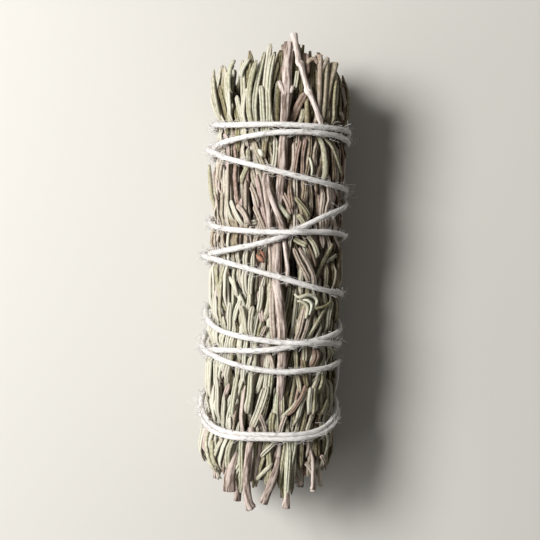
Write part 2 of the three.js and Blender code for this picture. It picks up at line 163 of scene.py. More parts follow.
def makePiece(name, parts, materials, nodes=()):
    points = np.concatenate([part["points"] for part in parts]) / 1000
    loops, sizes, finish = [], [], []
    start = 0
    for part in parts:
        for faces, material in zip(part["faces"], part["finish"]):
            loops.append(faces.ravel() + start)
            sizes.append(np.full(len(faces), faces.shape[1]))
            finish.append(np.full(len(faces), material))
        start += len(part["points"])
    loops = np.concatenate(loops)
    sizes = np.concatenate(sizes)
    mesh = bpy.data.meshes.new(name)
    mesh.vertices.add(len(points))
    mesh.vertices.foreach_set("co", points.ravel())
    mesh.loops.add(len(loops))
    mesh.loops.foreach_set("vertex_index", loops.astype(np.int32))
    mesh.polygons.add(len(sizes))
    starts = np.concatenate([[0], np.cumsum(sizes)[:-1]])
    mesh.polygons.foreach_set("loop_start", starts.astype(np.int32))
    mesh.polygons.foreach_set("material_index", np.concatenate(finish).astype(np.int32))
    mesh.polygons.foreach_set("use_smooth", np.ones(len(sizes), bool))
    for key, label in (("place", "surfacePlace"), ("tone", "surfaceTone")):
        values = np.concatenate([part[key] for part in parts]).astype(np.float32)
        layer = mesh.attributes.new(label, "FLOAT_VECTOR", "POINT")
        layer.data.foreach_set("vector", values.ravel())
    mesh.update(calc_edges=True)
    mesh.validate()
    for material in materials:
        mesh.materials.append(material)
    piece = bpy.data.objects.new(name, mesh)
    scene.collection.objects.link(piece)
    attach(piece, "root")
    if nodes:
        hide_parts(*nodes)


# Materials

def linearColor(hexColor):
    channels = [int(hexColor[i:i + 2], 16) / 255 for i in (1, 3, 5)]
    curve = [c / 12.92 if c <= 0.04045 else ((c + 0.055) / 1.055) ** 2.4 for c in channels]
    return (*curve, 1.0)


def addNode(tree, kind, inputs, stops=(), **settings):
    # Inputs go by name or number: another node's output is linked, and a plain value is set
    node = tree.nodes.new(kind)
    for key, value in settings.items():
        setattr(node, key, value)
    for key, value in inputs.items():
        if isinstance(value, bpy.types.NodeSocket):
            tree.links.new(value, node.inputs[key])
        else:
            node.inputs[key].default_value = value
    for index, (place, hexColor) in enumerate(stops):
        elements = node.color_ramp.elements
        element = elements[index] if index < 2 else elements.new(place)
        element.position = place
        element.color = linearColor(hexColor)
    return node


def makeMaterial(name, surfaceInputs):
    # surfaceInputs adds a material's nodes to its tree and gives the inputs of its shader
    material = bpy.data.materials.new(name)
    material.use_nodes = True
    tree = material.node_tree
    tree.nodes.clear()
    shader = addNode(tree, "ShaderNodeBsdfPrincipled", surfaceInputs(tree))
    addNode(tree, "ShaderNodeOutputMaterial", {"Surface": shader.outputs[0]})
    return material


def surfacePattern(tree, perMm, stretch, detail, roughness=0.5):
    # Noise over a piece's surface, measured in millimetres and drawn out along the piece
    place = addNode(tree, "ShaderNodeAttribute", {}, attribute_name="surfacePlace")
    drawnOut = addNode(tree, "ShaderNodeMapping", {
        "Vector": place.outputs["Vector"],
        "Scale": (1, 1 / stretch, 1),
    })
    noise = addNode(tree, "ShaderNodeTexNoise", {
        "Vector": drawnOut.outputs[0],
        "Scale": perMm,
        "Detail": detail,
        "Roughness": roughness,
    })
    return noise.outputs[0]


def solidPattern(tree, spacing, detail):
    # Noise through the solid, with marks so many millimetres apart
    place = addNode(tree, "ShaderNodeTexCoord", {})
    noise = addNode(tree, "ShaderNodeTexNoise", {
        "Vector": place.outputs["Object"],
        "Scale": 1000 / spacing,
        "Detail": detail,
    })
    return noise.outputs[0]


def patternedTone(tree, pattern, change):
    # Lightness of each leaf or stem, changed by a pattern, then its share of brown and the painted shade of
    # its groove, rims and underside
    tone = addNode(tree, "ShaderNodeAttribute", {}, attribute_name="surfaceTone")
    parts = addNode(tree, "ShaderNodeSeparateXYZ", {0: tone.outputs["Vector"]})
    shift = addNode(tree, "ShaderNodeMapRange", {"Value": pattern} | change)
    level = addNode(tree, "ShaderNodeMath", {0: parts.outputs["X"], 1: shift.outputs[0]}, operation="ADD")
    return level.outputs[0], parts.outputs["Y"], parts.outputs["Z"]


leafFinish = {
    "green": [(0.0, "#4a4229"), (0.3, "#928c6b"), (0.6, "#c1c0ac"), (1.0, "#d1d2c3")],
    "brown": [(0.0, "#433328"), (0.35, "#8f7769"), (0.65, "#bdaaa2"), (1.0, "#d3c9c3")],
    # Painted shade colour, multiplied into each leaf's groove, rims and underside
    "groove": "#77674e",
    "mottlesPerMm": 2.4,
    "mottleStretch": 1.6,
    "mottleChange": {"From Min": 0.34, "From Max": 0.66, "To Min": -0.15, "To Max": 0.13},
    "wrinkleSpacing": 0.22,
    "wrinkleStretch": 6.25,
    "wrinkleDepth": 0.07,
    "wrinkleStrength": 0.6,
    "shader": {"Roughness": 0.82, "IOR": 1.42, "Specular IOR Level": 0.3},
}


def driedLeaf(tree):
    # Rosemary leaf, air-dried: dull and curled in, with pale rolled edges; painted shade darkens the groove
    # between them, the outer rims and the underside
    mottle = surfacePattern(tree, leafFinish["mottlesPerMm"], leafFinish["mottleStretch"], 5.0, 0.65)
    level, brownShare, paintedShadeShare = patternedTone(tree, mottle, leafFinish["mottleChange"])
    green = addNode(tree, "ShaderNodeValToRGB", {0: level}, leafFinish["green"])
    brown = addNode(tree, "ShaderNodeValToRGB", {0: level}, leafFinish["brown"])
    body = addNode(tree, "ShaderNodeMix", {
        0: brownShare,
        6: green.outputs[0],
        7: brown.outputs[0],
    }, data_type="RGBA")
    # Painted shade: the groove colour multiplied in by the painted shade share
    grooved = addNode(tree, "ShaderNodeMix", {
        0: paintedShadeShare,
        6: body.outputs[2],
        7: linearColor(leafFinish["groove"]),
    }, data_type="RGBA", blend_type="MULTIPLY")
    wrinkles = surfacePattern(tree, 1 / leafFinish["wrinkleSpacing"], leafFinish["wrinkleStretch"], 2.0)
    bump = addNode(tree, "ShaderNodeBump", {
        "Height": wrinkles,
        "Strength": leafFinish["wrinkleStrength"],
        "Distance": leafFinish["wrinkleDepth"] / 1000,
    })
    return {"Base Color": grooved.outputs[2], "Normal": bump.outputs[0]} | leafFinish["shader"]


barkFinish = {
    "colors": [(0.0, "#33271f"), (0.35, "#85746a"), (0.65, "#b7a89e"), (1.0, "#ddd2ca")],
    "crackSpacing": 0.576,
    "crackLength": 4.16,
    "crackDepth": 0.3,
    "crackStrength": 0.8,
    "crackChange": {"From Min": 0.38, "From Max": 0.57, "To Min": -0.45, "To Max": 0.14},
    "shader": {"Roughness": 0.85, "IOR": 1.45, "Specular IOR Level": 0.25},
}


def crackedBark(tree):
    # Rosemary bark, dried on the stem: pinkish brown, with fine cracks that run along it
    stretch = barkFinish["crackLength"] / barkFinish["crackSpacing"]
    cracks = surfacePattern(tree, 1 / barkFinish["crackSpacing"], stretch, 5.0, 0.65)
    level = patternedTone(tree, cracks, barkFinish["crackChange"])[0]
    color = addNode(tree, "ShaderNodeValToRGB", {0: level}, barkFinish["colors"])
    bump = addNode(tree, "ShaderNodeBump", {
        "Height": cracks,
        "Strength": barkFinish["crackStrength"],
        "Distance": barkFinish["crackDepth"] / 1000,
    })
    return {"Base Color": color.outputs[0], "Normal": bump.outputs[0]} | barkFinish["shader"]


woodFinish = {
    "colors": [(0.35, "#a98d66"), (0.6, "#d9c8a6")],
    "grainSpacing": 0.7,
    "shader": {"Roughness": 0.75, "IOR": 1.5, "Specular IOR Level": 0.3},
}


def snippedWood(tree):
    # Rosemary wood, snipped across: pale and dry, with a slightly darker grain
    grain = solidPattern(tree, woodFinish["grainSpacing"], 2.0)
    color = addNode(tree, "ShaderNodeValToRGB", {0: grain}, woodFinish["colors"])
    return {"Base Color": color.outputs[0]} | woodFinish["shader"]


flakeFinish = {
    "colors": [(0.4, "#6a4536"), (0.6, "#a47863")],
    "patchSpacing": 1.6,
    "shader": {"Roughness": 0.8, "IOR": 1.45, "Specular IOR Level": 0.25},
}


def tornBark(tree):
    # Inner bark of rosemary, torn open: a small rusty patch, uneven and dull
    patches = solidPattern(tree, flakeFinish["patchSpacing"], 3.0)
    color = addNode(tree, "ShaderNodeValToRGB", {0: patches}, flakeFinish["colors"])
    return {"Base Color": color.outputs[0]} | flakeFinish["shader"]


cottonFinish = {
    # Darker tone where the fibre bump is low: partly the cotton's unevenness, partly painted shade in the
    # hollows
    "colors": [(0.3, "#b9b4ae"), (0.55, "#dcd8d4")],
    "fibresPerMm": 3.75,
    "fibreStretch": 5,
    "fibreDepth": 0.08,
    "fibreStrength": 0.7,
    "shader": {
        "Roughness": 0.95,
        "IOR": 1.5,
        "Specular IOR Level": 0.2,
        "Sheen Weight": 0.25,
        "Sheen Roughness": 0.5,
    },
}


def spunCotton(tree):
    # Cotton twine, softly spun: undyed white, matt, with a light fuzz that softens its edges; one fibre
    # pattern drives colour and bump, so it is darker in the hollows, partly uneven cotton and partly painted
    # shade
    fibres = surfacePattern(tree, cottonFinish["fibresPerMm"], cottonFinish["fibreStretch"], 3.0)
    color = addNode(tree, "ShaderNodeValToRGB", {0: fibres}, cottonFinish["colors"])
    bump = addNode(tree, "ShaderNodeBump", {
        "Height": fibres,
        "Strength": cottonFinish["fibreStrength"],
        "Distance": cottonFinish["fibreDepth"] / 1000,
    })
    return {"Base Color": color.outputs[0], "Normal": bump.outputs[0]} | cottonFinish["shader"]


leafMaterial = makeMaterial("airDriedRosemaryLeaf", driedLeaf)
barkMaterial = makeMaterial("driedRosemaryBark", crackedBark)
woodMaterial = makeMaterial("snippedRosemaryWood", snippedWood)
flakeMaterial = makeMaterial("tornInnerBark", tornBark)
cottonMaterial = makeMaterial("spunCottonTwine", spunCotton)
print("materials made")

# Twine: its centre line lies on a slightly smaller outline, and each pass lies over earlier ones
twineSize = {
    "radius": 0.58,
    "halfWidth": 14.75,
    "top": 13.7,
    "bottom": 12.3,
    "lift": 1.0,
    "liftReach": 1.12,
    "liftEase": 4,
    "undersideFrom": 0.3,
    "undersideTo": 0.7,
    "routeSteps": 2400,
    "sampleStep": 0.6,
    "samplesApart": 30,
    "pathStep": 0.3,
    "sides": 14,
    "strands": 3,
    "tightRadius": 0.5,
    "tightAbove": -28,
    "strandDepth": 0.03,
    "pitch": 5.2,
    "slub": 0.06,
    "tone": (0.5, 0, 0),
}

# Height of each pass over the front, in winding order: left edge, left front, middle, right
# front and right edge
frontPasses = [
    (-28.8, -33.6, -33.9, -33.0, -28.5),
    (-17.9, -17.1, -16.3, -13.7, -11.4),
    (2.4, 3.9, 6.8, 12.3, 15.5),
    (25.2, 27.1, 28.9, 29.2, 28.6),
    (31.2, 30.3, 30.5, 30.6, 30.8),
    (26.2, 23.1, 20.7, 18.8, 18.0),
    (10.3, 8.4, 8.1, 8.7, 8.2),
    (3.0, 1.4, -1.0, -3.5, -4.4),
    (-9.2, -13.1, -14.6, -14.6, -15.2),
    (-15.1, -19.0, -20.8, -20.1, -19.0),
    (-29.8, -34.5, -34.8, -33.9, -29.5),
]
passAngles = (180, 135, 90, 45, 0)
firstUnderside = ((-90, -27.8), (-135, -27.6))

# Knot low on the right, where the first and last turns meet, and the two ends that leave it:
# angle, height and how far each point lies above the turns
knot = {
    "angle": -34,
    "height": -29,
    "lift": 0.6,
    "radius": 1.1,
    "slant": 0.5,
    "endOffset": 0.4,
    "halfTurns": 2.15,
    "steps": 48,
    "rise": 0.12,
    "tails": (
        ((-34, -29.0, 0.6), (-27, -26.6, 1.25), (-22, -23.2, 1.2), (-21, -19.6, 1.0)),
        ((-34, -29.0, 0.6), (-31, -32.0, 1.25), (-34, -35.0, 1.2), (-33, -38.2, 1.0)),
    ),
}


def twineOutline(angle):
    return sectionRadius(angle, twineSize["halfWidth"], twineSize["top"], twineSize["bottom"])


def twineStops():
    stops = [(knot["angle"], knot["height"] + knot["endOffset"]), *firstUnderside]
    for turn, heights in enumerate(frontPasses):
        if turn > 0:
            before = frontPasses[turn - 1][4]
            step = (heights[0] - before) / 4
            stops += [(-45, before + step), (-90, before + 2 * step), (-135, before + 3 * step)]
        stops += list(zip(passAngles, heights))
    stops.append((knot["angle"], knot["height"] - knot["endOffset"]))
    turned, last, unwound = 0, stops[0][0], []
    for angle, height in stops:
        while angle + turned > last:
            turned -= 360
        last = angle + turned
        unwound.append((math.radians(last), height))
    return np.array(unwound)


def splineThrough(stops, steps):
    place = np.linspace(0, len(stops) - 1, steps + 1)
    index = np.minimum(place.astype(int), len(stops) - 1)
    t = (place - index)[:, None]
    last = len(stops) - 1
    before, start = stops[np.maximum(index - 1, 0)], stops[index]
    end, after = stops[np.minimum(index + 1, last)], stops[np.minimum(index + 2, last)]
    leave, arrive = 0.5 * (end - before), 0.5 * (after - start)
    cubic = 2 * start - 2 * end + leave + arrive
    square = -3 * start + 3 * end - 2 * leave - arrive
    return cubic * t ** 3 + square * t ** 2 + leave * t + start


def eased(values):
    reach = twineSize["liftEase"]
    shares = np.cos(np.arange(-reach, reach + 1) / (reach + 1) * math.pi / 2)
    return np.max(shares[:, None] * neighbours(values, reach), axis=0)


def routeTwine():
    route = splineThrough(twineStops(), twineSize["routeSteps"])
    fine = onBundle(route[:, 0], route[:, 1], twineOutline(route[:, 0]))
    length = np.concatenate([[0], np.cumsum(np.linalg.norm(np.diff(fine, axis=0), axis=1))])
    count = round(length[-1] / twineSize["sampleStep"])
    wanted = np.linspace(0, length[-1], count + 1)
    angle = np.interp(wanted, length, route[:, 0])
    points = np.stack([np.interp(wanted, length, fine[:, i]) for i in range(3)], axis=-1)
    distance = np.linalg.norm(points[:, None] - points[None], axis=2)
    order = np.arange(count + 1)
    later = order[:, None] - order[None] > twineSize["samplesApart"]
    near = later & (distance < twineSize["liftReach"])
    height = np.where(near, twineSize["lift"] * (1 - (distance / twineSize["liftReach"]) ** 2), 0)
    below = smoothStep(-np.sin(angle), twineSize["undersideFrom"], twineSize["undersideTo"])
    lift = eased(np.max(height * (1 - below)[:, None], axis=1))
    dip = eased(np.max(height * below[:, None], axis=0))
    along = points[:, 1] - bundle["middleY"]
    return {
        "angle": angle,
        "along": along,
        "radius": twineOutline(angle) + lift - dip,
        "pressed": twineOutline(angle) - dip,
        "length": length[-1],
    }


twine = routeTwine()
print("twine route made, length", round(twine["length"]), "mm")

# Where the twine presses the leaves in: a smooth trough on both sides of it
dent = {"step": 0.3, "reach": 2.6, "flat": 0.6, "play": 0.03, "halfLength": 54}


def pressTrough():
    arcs = np.arange(0, girth, dent["step"])
    alongs = np.arange(-dent["halfLength"], dent["halfLength"], dent["step"])
    trough = np.zeros((len(arcs), len(alongs)))
    twineArcs = arcAt(twine["angle"])
    need = crest(twine["angle"]) - (twine["pressed"] - twineSize["radius"]) + dent["play"]
    span = int(dent["reach"] / dent["step"]) + 1
    for arc, along, depth in zip(twineArcs, twine["along"], need):
        i = int(arc / dent["step"]) + np.arange(-span, span + 1)
        j = int((along + dent["halfLength"]) / dent["step"]) + np.arange(-span, span + 1)
        away = np.hypot((i * dent["step"] - arc)[:, None],
                        (j * dent["step"] - dent["halfLength"] - along)[None])
        share = np.clip((away - dent["flat"]) / (dent["reach"] - dent["flat"]), 0, 1)
        pressed = depth * 0.5 * (1 + np.cos(np.pi * share))
        window = np.ix_(np.mod(i, len(arcs)), np.clip(j, 0, len(alongs) - 1))
        trough[window] = np.maximum(trough[window], pressed)
    return trough


trough = pressTrough()


def troughAt(arc, along):
    rows, columns = trough.shape
    i = np.mod(arc, girth) / dent["step"]
    j = np.clip((along + dent["halfLength"]) / dent["step"], 0, columns - 1.001)
    i0, j0 = i.astype(int) % rows, j.astype(int)
    i1, di, dj = (i0 + 1) % rows, i - np.floor(i), j - j0
    low = trough[i0, j0] * (1 - di) + trough[i1, j0] * di
    high = trough[i0, j0 + 1] * (1 - di) + trough[i1, j0 + 1] * di
    return low * (1 - dj) + high * dj


def pressedPoint(arc, along, depth):
    # Place in space of a point so deep below the outermost leaves, pressed in by the twine, and
    # spread at the sides past the last turns
    firm = np.clip(1 - depth / bundle["leafDepth"], 0, 1)
    angle = angleAt(arc)
    toRight = smoothStep(np.cos(angle), *bundle["sideFrom"])
    toLeft = smoothStep(-np.cos(angle), *bundle["sideFrom"])
    radius = crest(angle) - depth - troughAt(arc, along) * firm
    for spread, past in ((bundle["spreadAbove"], along), (bundle["spreadBelow"], -along)):
        outward = spread["right"] * toRight + spread["left"] * toLeft
        radius = radius + outward * smoothStep(past, *spread["from"])
    return onBundle(angle, along, radius)


print("trough under the twine made")

# Stems as the solids hold them: angle and share of the radius stay the same along the bundle
stemSize = {
    "root": 0.8,
    "tip": 0.5,
    "leafyTip": 9,
    "thick": 1.1,
    "sink": 0.12,
    "cutBack": 3.5,
    "bareEnd": 4,
    "sides": 12,
    "step": 1.0,
    "sway": 0.25,
    "swayLength": 9,
    "coveredFrom": (2, 12),
    "ridges": 0.05,
    "leafNodes": (6.5, 14.0),
    "tone": 0.45,
    "toneSpread": 0.06,
    "outerFrom": 0.55,
    "barkStemAngle": 82,
    "barkStemShare": 0.9,
}


def stemOf(name):
    vertices = np.array([vertex.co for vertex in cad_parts[name].data.vertices]) * 1000
    vertices = vertices - [bundle["axisX"], bundle["middleY"], bundle["axisZ"]]
    low, high = vertices[:, 1].min(), vertices[:, 1].max()
    atLow = vertices[vertices[:, 1] < low + 0.01]
    atHigh = vertices[vertices[:, 1] > high - 0.01]
    cornersLow, cornersHigh = (len(np.unique(end.round(2), axis=0)) for end in (atLow, atHigh))
    sign = 1 if cornersLow > cornersHigh else -1
    center = (atLow if sign > 0 else atHigh).mean(axis=0)
    angle = math.atan2(center[2], center[0])
    return {
        "name": name,
        "sign": sign,
        "cut": center[1],
        "end": high if sign > 0 else low,
        "angle": angle - twistAt(center[1]),
        "share": math.hypot(center[0], center[2]) / crest(angle),
        "phase": draw.uniform(0, 6.28),
        "tone": draw.normal(0, 1),
        "brown": draw.uniform(0, 1),
    }


stems = [stemOf(name) for name in sorted(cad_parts) if name.startswith("sprig_")]
outerStems = [stem for stem in stems if stem["share"] > stemSize["outerFrom"]]
innerStems = [stem for stem in stems if stem["share"] <= stemSize["outerFrom"]]


def farFromFront(stem):
    turned = abs(stem["angle"] - math.radians(stemSize["barkStemAngle"]))
    return turned + abs(stem["share"] - stemSize["barkStemShare"])


barkStem = min(outerStems, key=farFromFront)
print("stems:", len(outerStems), "outer,", len(innerStems), "inner, bark stem", barkStem["name"])


def stemPath(stem, alongs):
    # The middle of a stem lies a little deeper than its cut end, under its leaves
    angle = stem["angle"] + twistAt(alongs)
    sway = stemSize["sway"] * np.sin(alongs / stemSize["swayLength"] + stem["phase"])
    covered = smoothStep(np.abs(alongs - stem["cut"]), *stemSize["coveredFrom"]) * stem["share"]
    return onBundle(angle, alongs, (stem["share"] - stemSize["sink"] * covered) * crest(angle) + sway)


def barkRidges(depth, phase, knots=()):
    # Lengthwise ridges of bark, with a swelling at each leaf node
    def ridges(turn, along):
        bumps = np.sin(3 * turn + phase + 0.25 * along) + 0.7 * np.sin(5 * turn + 2 * phase - 0.18 * along)
        bumps = bumps + 0.5 * np.sin(8 * turn - phase + 0.4 * along)
        swell = sum(0.22 * np.exp(-((along - place) / 0.7) ** 2) for place in knots)
        return 1 + depth * bumps + swell
    return ridges


def fissures(depth):
    # Rough bark, split lengthwise into narrow strips that wander
    def ridges(turn, along):
        wander = 0.35 * np.sin(0.31 * along) + 0.2 * np.sin(0.83 * along + 1)
        strips = np.sin(7 * turn + 3 * wander) + 0.8 * np.sin(11 * turn - 4 * wander + 0.2 * along)
        rough = 0.5 * np.sin(17 * turn + 1.9 * along) * np.sin(1.3 * along)
        return 1 + depth * (strips + rough)
    return ridges


# Leaves: the rows and rings that every leaf is built on
leafShape = {
    "stations": (0, 0.07, 0.17, 0.3, 0.43, 0.56, 0.68, 0.79, 0.875, 0.935, 0.978, 1),
    "across": (-1, -0.84, -0.5, -0.15, 0.0, 0.15, 0.5, 0.84, 1, 0.55, 0.0, -0.55),
    "grooved": (0, 0.62, 1.0, 0.74, 0.1, 0.74, 1.0, 0.62, 0, -0.42, -0.3, -0.42),
    "rounded": (0, 0.5, 0.85, 1.0, 0.96, 1.0, 0.85, 0.5, 0, -0.3, -0.35, -0.3),
    # grooveShade and edgeShade are painted shade: darkening in each leaf's groove, and at its outer rims and
    # underside
    "grooveShade": (0, 0, 0, 0.35, 1, 0.35, 0, 0, 0, 0, 0, 0),
    "edgeShade": (0.48, 0.1, 0, 0, 0, 0, 0, 0.1, 0.48, 0.75, 0.85, 0.75),
    "rootWidth": 0.62,
    "rootReach": 0.16,
    "waviness": 0.04,
}
leafRows = np.array(leafShape["stations"])


def leafProfiles(leaves):
    # Height and width of the rings, before they are laid along a leaf: (leaf, row, ring point)
    t = leafRows[None]
    rootWidth = leafShape["rootWidth"]
    rootWidth = rootWidth + (1 - rootWidth) * smoothStep(t, 0, leafShape["rootReach"])
    sharp = 1 - leaves["blunt"][:, None]
    end = np.clip((1 - t) / (0.05 + 0.12 * sharp), 0, 1)
    tipWidth = np.maximum(end ** (0.4 + 0.25 * sharp), 0.55 - 0.4 * sharp)
    wave = 1 + leafShape["waviness"] * np.sin(11 * t + leaves["phase"][:, None])
    width = rootWidth * tipWidth * wave * leaves["width"][:, None] / 2
    thick = (0.7 + 0.3 * smoothStep(t, 0, 0.2)) * np.maximum(end ** 0.5, 0.25)
    thick = thick * leaves["thickness"][:, None]
    across = np.array(leafShape["across"])
    groove = leaves["groove"][:, None]
    height = groove * np.array(leafShape["grooved"]) + (1 - groove) * np.array(leafShape["rounded"])
    u = width[..., None] * across
    z = thick[..., None] * height[:, None]
    roll = (leaves["roll"] + leaves["curl"] * leafRows[:, None]).T[..., None]
    return u * np.cos(roll) - z * np.sin(roll), u * np.sin(roll) + z * np.cos(roll)


def leafPart(leaves, points):
    count, rows, ring = points.shape[:3]
    grid = np.arange(count * rows * ring).reshape(count, rows, ring)
    nextGrid = np.roll(grid, -1, axis=2)
    quads = np.stack([grid[:, :-1], grid[:, 1:], nextGrid[:, 1:], nextGrid[:, :-1]], axis=-1)
    caps = np.concatenate([grid[:, 0], grid[:, -1][:, ::-1]])
    shape = (count, rows, ring)
    along = leafRows[None, :, None] * leaves["length"][:, None, None]
    across = np.array(leafShape["across"])[None, None] * leaves["width"][:, None, None] / 2
    place = np.stack([
        np.broadcast_to(across, shape),
        np.broadcast_to(along, shape),
        np.broadcast_to(leaves["phase"][:, None, None] * 7, shape),
    ], axis=-1)
    t = leafRows[None, :, None]
    ends = 0.25 * smoothStep(t, 0.85, 1) + 0.35 * (1 - smoothStep(t, 0, 0.15))
    # Painted shade in the tone's third value: darker in the groove, the more so the deeper it is, and at the
    # rims and underside
    paintedShade = np.array(leafShape["grooveShade"]) * (0.15 + 0.75 * leaves["groove"][:, None, None])
    paintedShade = paintedShade + np.array(leafShape["edgeShade"])
    tone = np.stack([
        np.broadcast_to(leaves["tone"][:, None, None], shape),
        np.clip(np.broadcast_to(leaves["brown"][:, None, None] + ends, shape), 0, 1),
        np.broadcast_to(paintedShade, shape),
    ], axis=-1)
    return {
        "points": points.reshape(-1, 3),
        "faces": [quads.reshape(-1, 4), caps],
        "finish": [0, 0],
        "place": place.reshape(-1, 3),
        "tone": tone.reshape(-1, 3),
    }


def shellPart(leaves):
    # Leaves of the outside, laid on the unrolled surface
    u, z = leafProfiles(leaves)
    stepArc = np.gradient(leaves["arc"], axis=1)
    stepAlong = np.gradient(leaves["along"], axis=1)
    size = np.hypot(stepArc, stepAlong)
    acrossArc, acrossAlong = stepAlong / size, -stepArc / size
    arc = leaves["arc"][..., None] + u * acrossArc[..., None]
    along = leaves["along"][..., None] + u * acrossAlong[..., None]
    depth = leaves["depth"][..., None] - z
    return leafPart(leaves, pressedPoint(arc, along, depth))


def pickLeaves(leaves, chosen):
    return {key: values[chosen] for key, values in leaves.items()}


# Outer leaves: stacked from deep to the outermost, each at the lowest place of a few tries
outerLeaves = {
    "count": 2350,
    "tries": 7,
    "length": (13.5, 3.2, 7, 22),
    "width": (1.2, 0.13, 0.9, 1.55),
    "thickness": (0.42, 0.05, 0.32, 0.54),
    "slant": 5.0,
    "bow": 0.2,
    "looseShare": 0.32,
    "looseSlant": 13,
    "looseBow": 0.45,
    "looseLength": 0.8,
    "roll": 0.28,
    "curl": 0.3,
    "groove": (0.72, 0.35, 0, 1),
    "tipLift": 0.3,
    "liftFrom": 0.75,
    "sideTone": 0.125,
    "toneSpread": 0.13,
    "toneMost": 0.74,
    "dryShare": 0.1,
    "dryBrown": (0.5, 1),
    "freshBrown": (0, 0.15),
    "stemBrown": 0.1,
    "tanFrom": (-2, 5),
    "tanTo": (26, 31),
    "tanShare": 0.36,
    "sideBrown": 1.2,
    "endDark": 0.15,
    "paleBelow": (-5, 5),
    "paleShare": 1.4,
    "frontSlants": (
        (-4, 16, 8, -15),
        (8, 4, 7, -20),
        (6, -9, 6, 22),
        (-3, -33, 7, 18),
        (4, -29, 6, 20),
        (-9, -42, 6, 12),
        (0, 24, 8, -5),
    ),
    "cell": 0.35,
    "halfLength": 52,
    "leafHeight": 0.52,
    "bridgeReach": 4,
    "bridgeSmooth": 9,
    "peakCost": 0.35,
    "rootDip": 1.1,
    "dipLength": 0.18,
    "topEnd": 47.2,
    "endRound": 0.02,
    "endSpread": 1.6,
    "endMost": 1.2,
    "placeMost": 47,
}
heapShape = (
    int(girth / outerLeaves["cell"]),
    int(2 * outerLeaves["halfLength"] / outerLeaves["cell"]),
)
heap = np.zeros(heapShape)
ceiling = np.full(heapShape, bundle["leafDepth"] - bundle["leafTop"])


def heapCells(arc, along):
    i = (np.mod(arc, girth) / girth * heapShape[0]).astype(int) % heapShape[0]
    j = ((along + outerLeaves["halfLength"]) / outerLeaves["cell"]).astype(int)
    return i, np.clip(j, 0, heapShape[1] - 1)


def bounded(setting):
    mean, spread, low, high = setting
    return float(np.clip(draw.normal(mean, spread), low, high))


def slantAt(arc, along):
    # Lean of the leaves, as seen from above: more than the rest at a few places on the front
    angle = angleAt(arc)
    x = crest(angle) * np.cos(angle)
    front = smoothStep(np.sin(angle), 0.0, 0.5)
    lean = 4 * np.sin(0.21 * arc + 0.05 * along) + 3 * np.sin(0.11 * along - 0.4 * arc)
    for centerX, centerY, reach, degrees in outerLeaves["frontSlants"]:
        near = np.exp(-((x - centerX) ** 2 + (along - centerY) ** 2) / reach ** 2)
        lean = lean - front * near * degrees
    return lean


def endOf(arc):
    # How far along the bundle the leaf tips reach: less at the sides
    angle = angleAt(arc)
    x = crest(angle) * np.cos(angle)
    return outerLeaves["topEnd"] - outerLeaves["endRound"] * x ** 2


fineRows = np.linspace(0, 1, 30)
middleRow = len(fineRows) // 2
fineAcross = np.array([-0.8, -0.4, 0.0, 0.4, 0.8])


def leafLine(arc, along, length, lean, bow, rows):
    # Centre line from root to tip; lean is in radians from the bundle's length, towards more arc
    share = rows - 0.5
    forward = length * share
    sideways = bow * (1 - 4 * share ** 2)
    return (arc + forward * np.sin(lean) + sideways * np.cos(lean),
            along + forward * np.cos(lean) - sideways * np.sin(lean))


def layOnHeap(arc, along, width):
    # Height of what lies below a leaf, bridged as a stiff leaf does, and the cells that it covers
    stepArc, stepAlong = np.gradient(arc), np.gradient(along)
    size = np.hypot(stepArc, stepAlong)
    offset = fineAcross[:, None] * width / 2
    cells = heapCells(arc + offset * stepAlong / size, along - offset * stepArc / size)
    highest = np.max(neighbours(heap[cells].max(axis=0), outerLeaves["bridgeReach"]), axis=0)
    return np.mean(neighbours(highest, outerLeaves["bridgeSmooth"]), axis=0), cells


def recordLeaf(store, arc, along, height, settings):
    index = np.arange(len(fineRows))
    rows = np.interp(leafRows, fineRows, index)
    line = {
        "arc": np.interp(rows, index, arc),
        "along": np.interp(rows, index, along),
        "depth": bundle["leafDepth"] - np.interp(rows, index, height),
    }
    for key, value in (line | settings).items():
        store.setdefault(key, []).append(value)


def nearestStem(arc, along):
    angle = angleAt(arc) - twistAt(along)
    gaps = [abs((stem["angle"] - angle + np.pi) % (2 * np.pi) - np.pi) for stem in outerStems]
    return int(np.argmin(gaps))


def leafSettings(stem, length, along):
    # Stems towards the left of the photo are paler, and the leaves are browner above the middle
    side = outerLeaves["sideTone"] * stem["share"] * math.cos(stem["angle"])
    tone = 0.5 - side + stemSize["toneSpread"] * stem["tone"] + draw.normal(0, outerLeaves["toneSpread"])
    tan = smoothStep(along, *outerLeaves["tanFrom"]) * (1 - smoothStep(along, *outerLeaves["tanTo"]))
    dry = draw.random() < outerLeaves["dryShare"] * (1 + tan)
    own = draw.uniform(*outerLeaves["dryBrown" if dry else "freshBrown"])
    brown = outerLeaves["stemBrown"] * stem["brown"] + own
    brown = brown + outerLeaves["tanShare"] * float(tan) + max(0.0, outerLeaves["sideBrown"] * side)
    lower = float(smoothStep(-along, *outerLeaves["paleBelow"]))
    tone = tone + outerLeaves["paleShare"] * max(0.0, -side) * lower
    upper = float(smoothStep(along, *outerLeaves["tanTo"]))
    tone = tone - outerLeaves["endDark"] * upper * (1 - 2 * side)
    return {
        "length": length,
        "width": bounded(outerLeaves["width"]),
        "thickness": bounded(outerLeaves["thickness"]),
        "roll": draw.normal(0, outerLeaves["roll"]),
        "curl": draw.normal(0, outerLeaves["curl"]),
        "groove": bounded(outerLeaves["groove"]),
        "blunt": draw.uniform(0, 1),
        "phase": draw.uniform(0, 6.28),
        "tone": min(tone, outerLeaves["toneMost"]),
        "brown": brown,
    }


def markHeap(cells, height):
    np.maximum.at(heap, cells, np.broadcast_to(height, cells[0].shape))


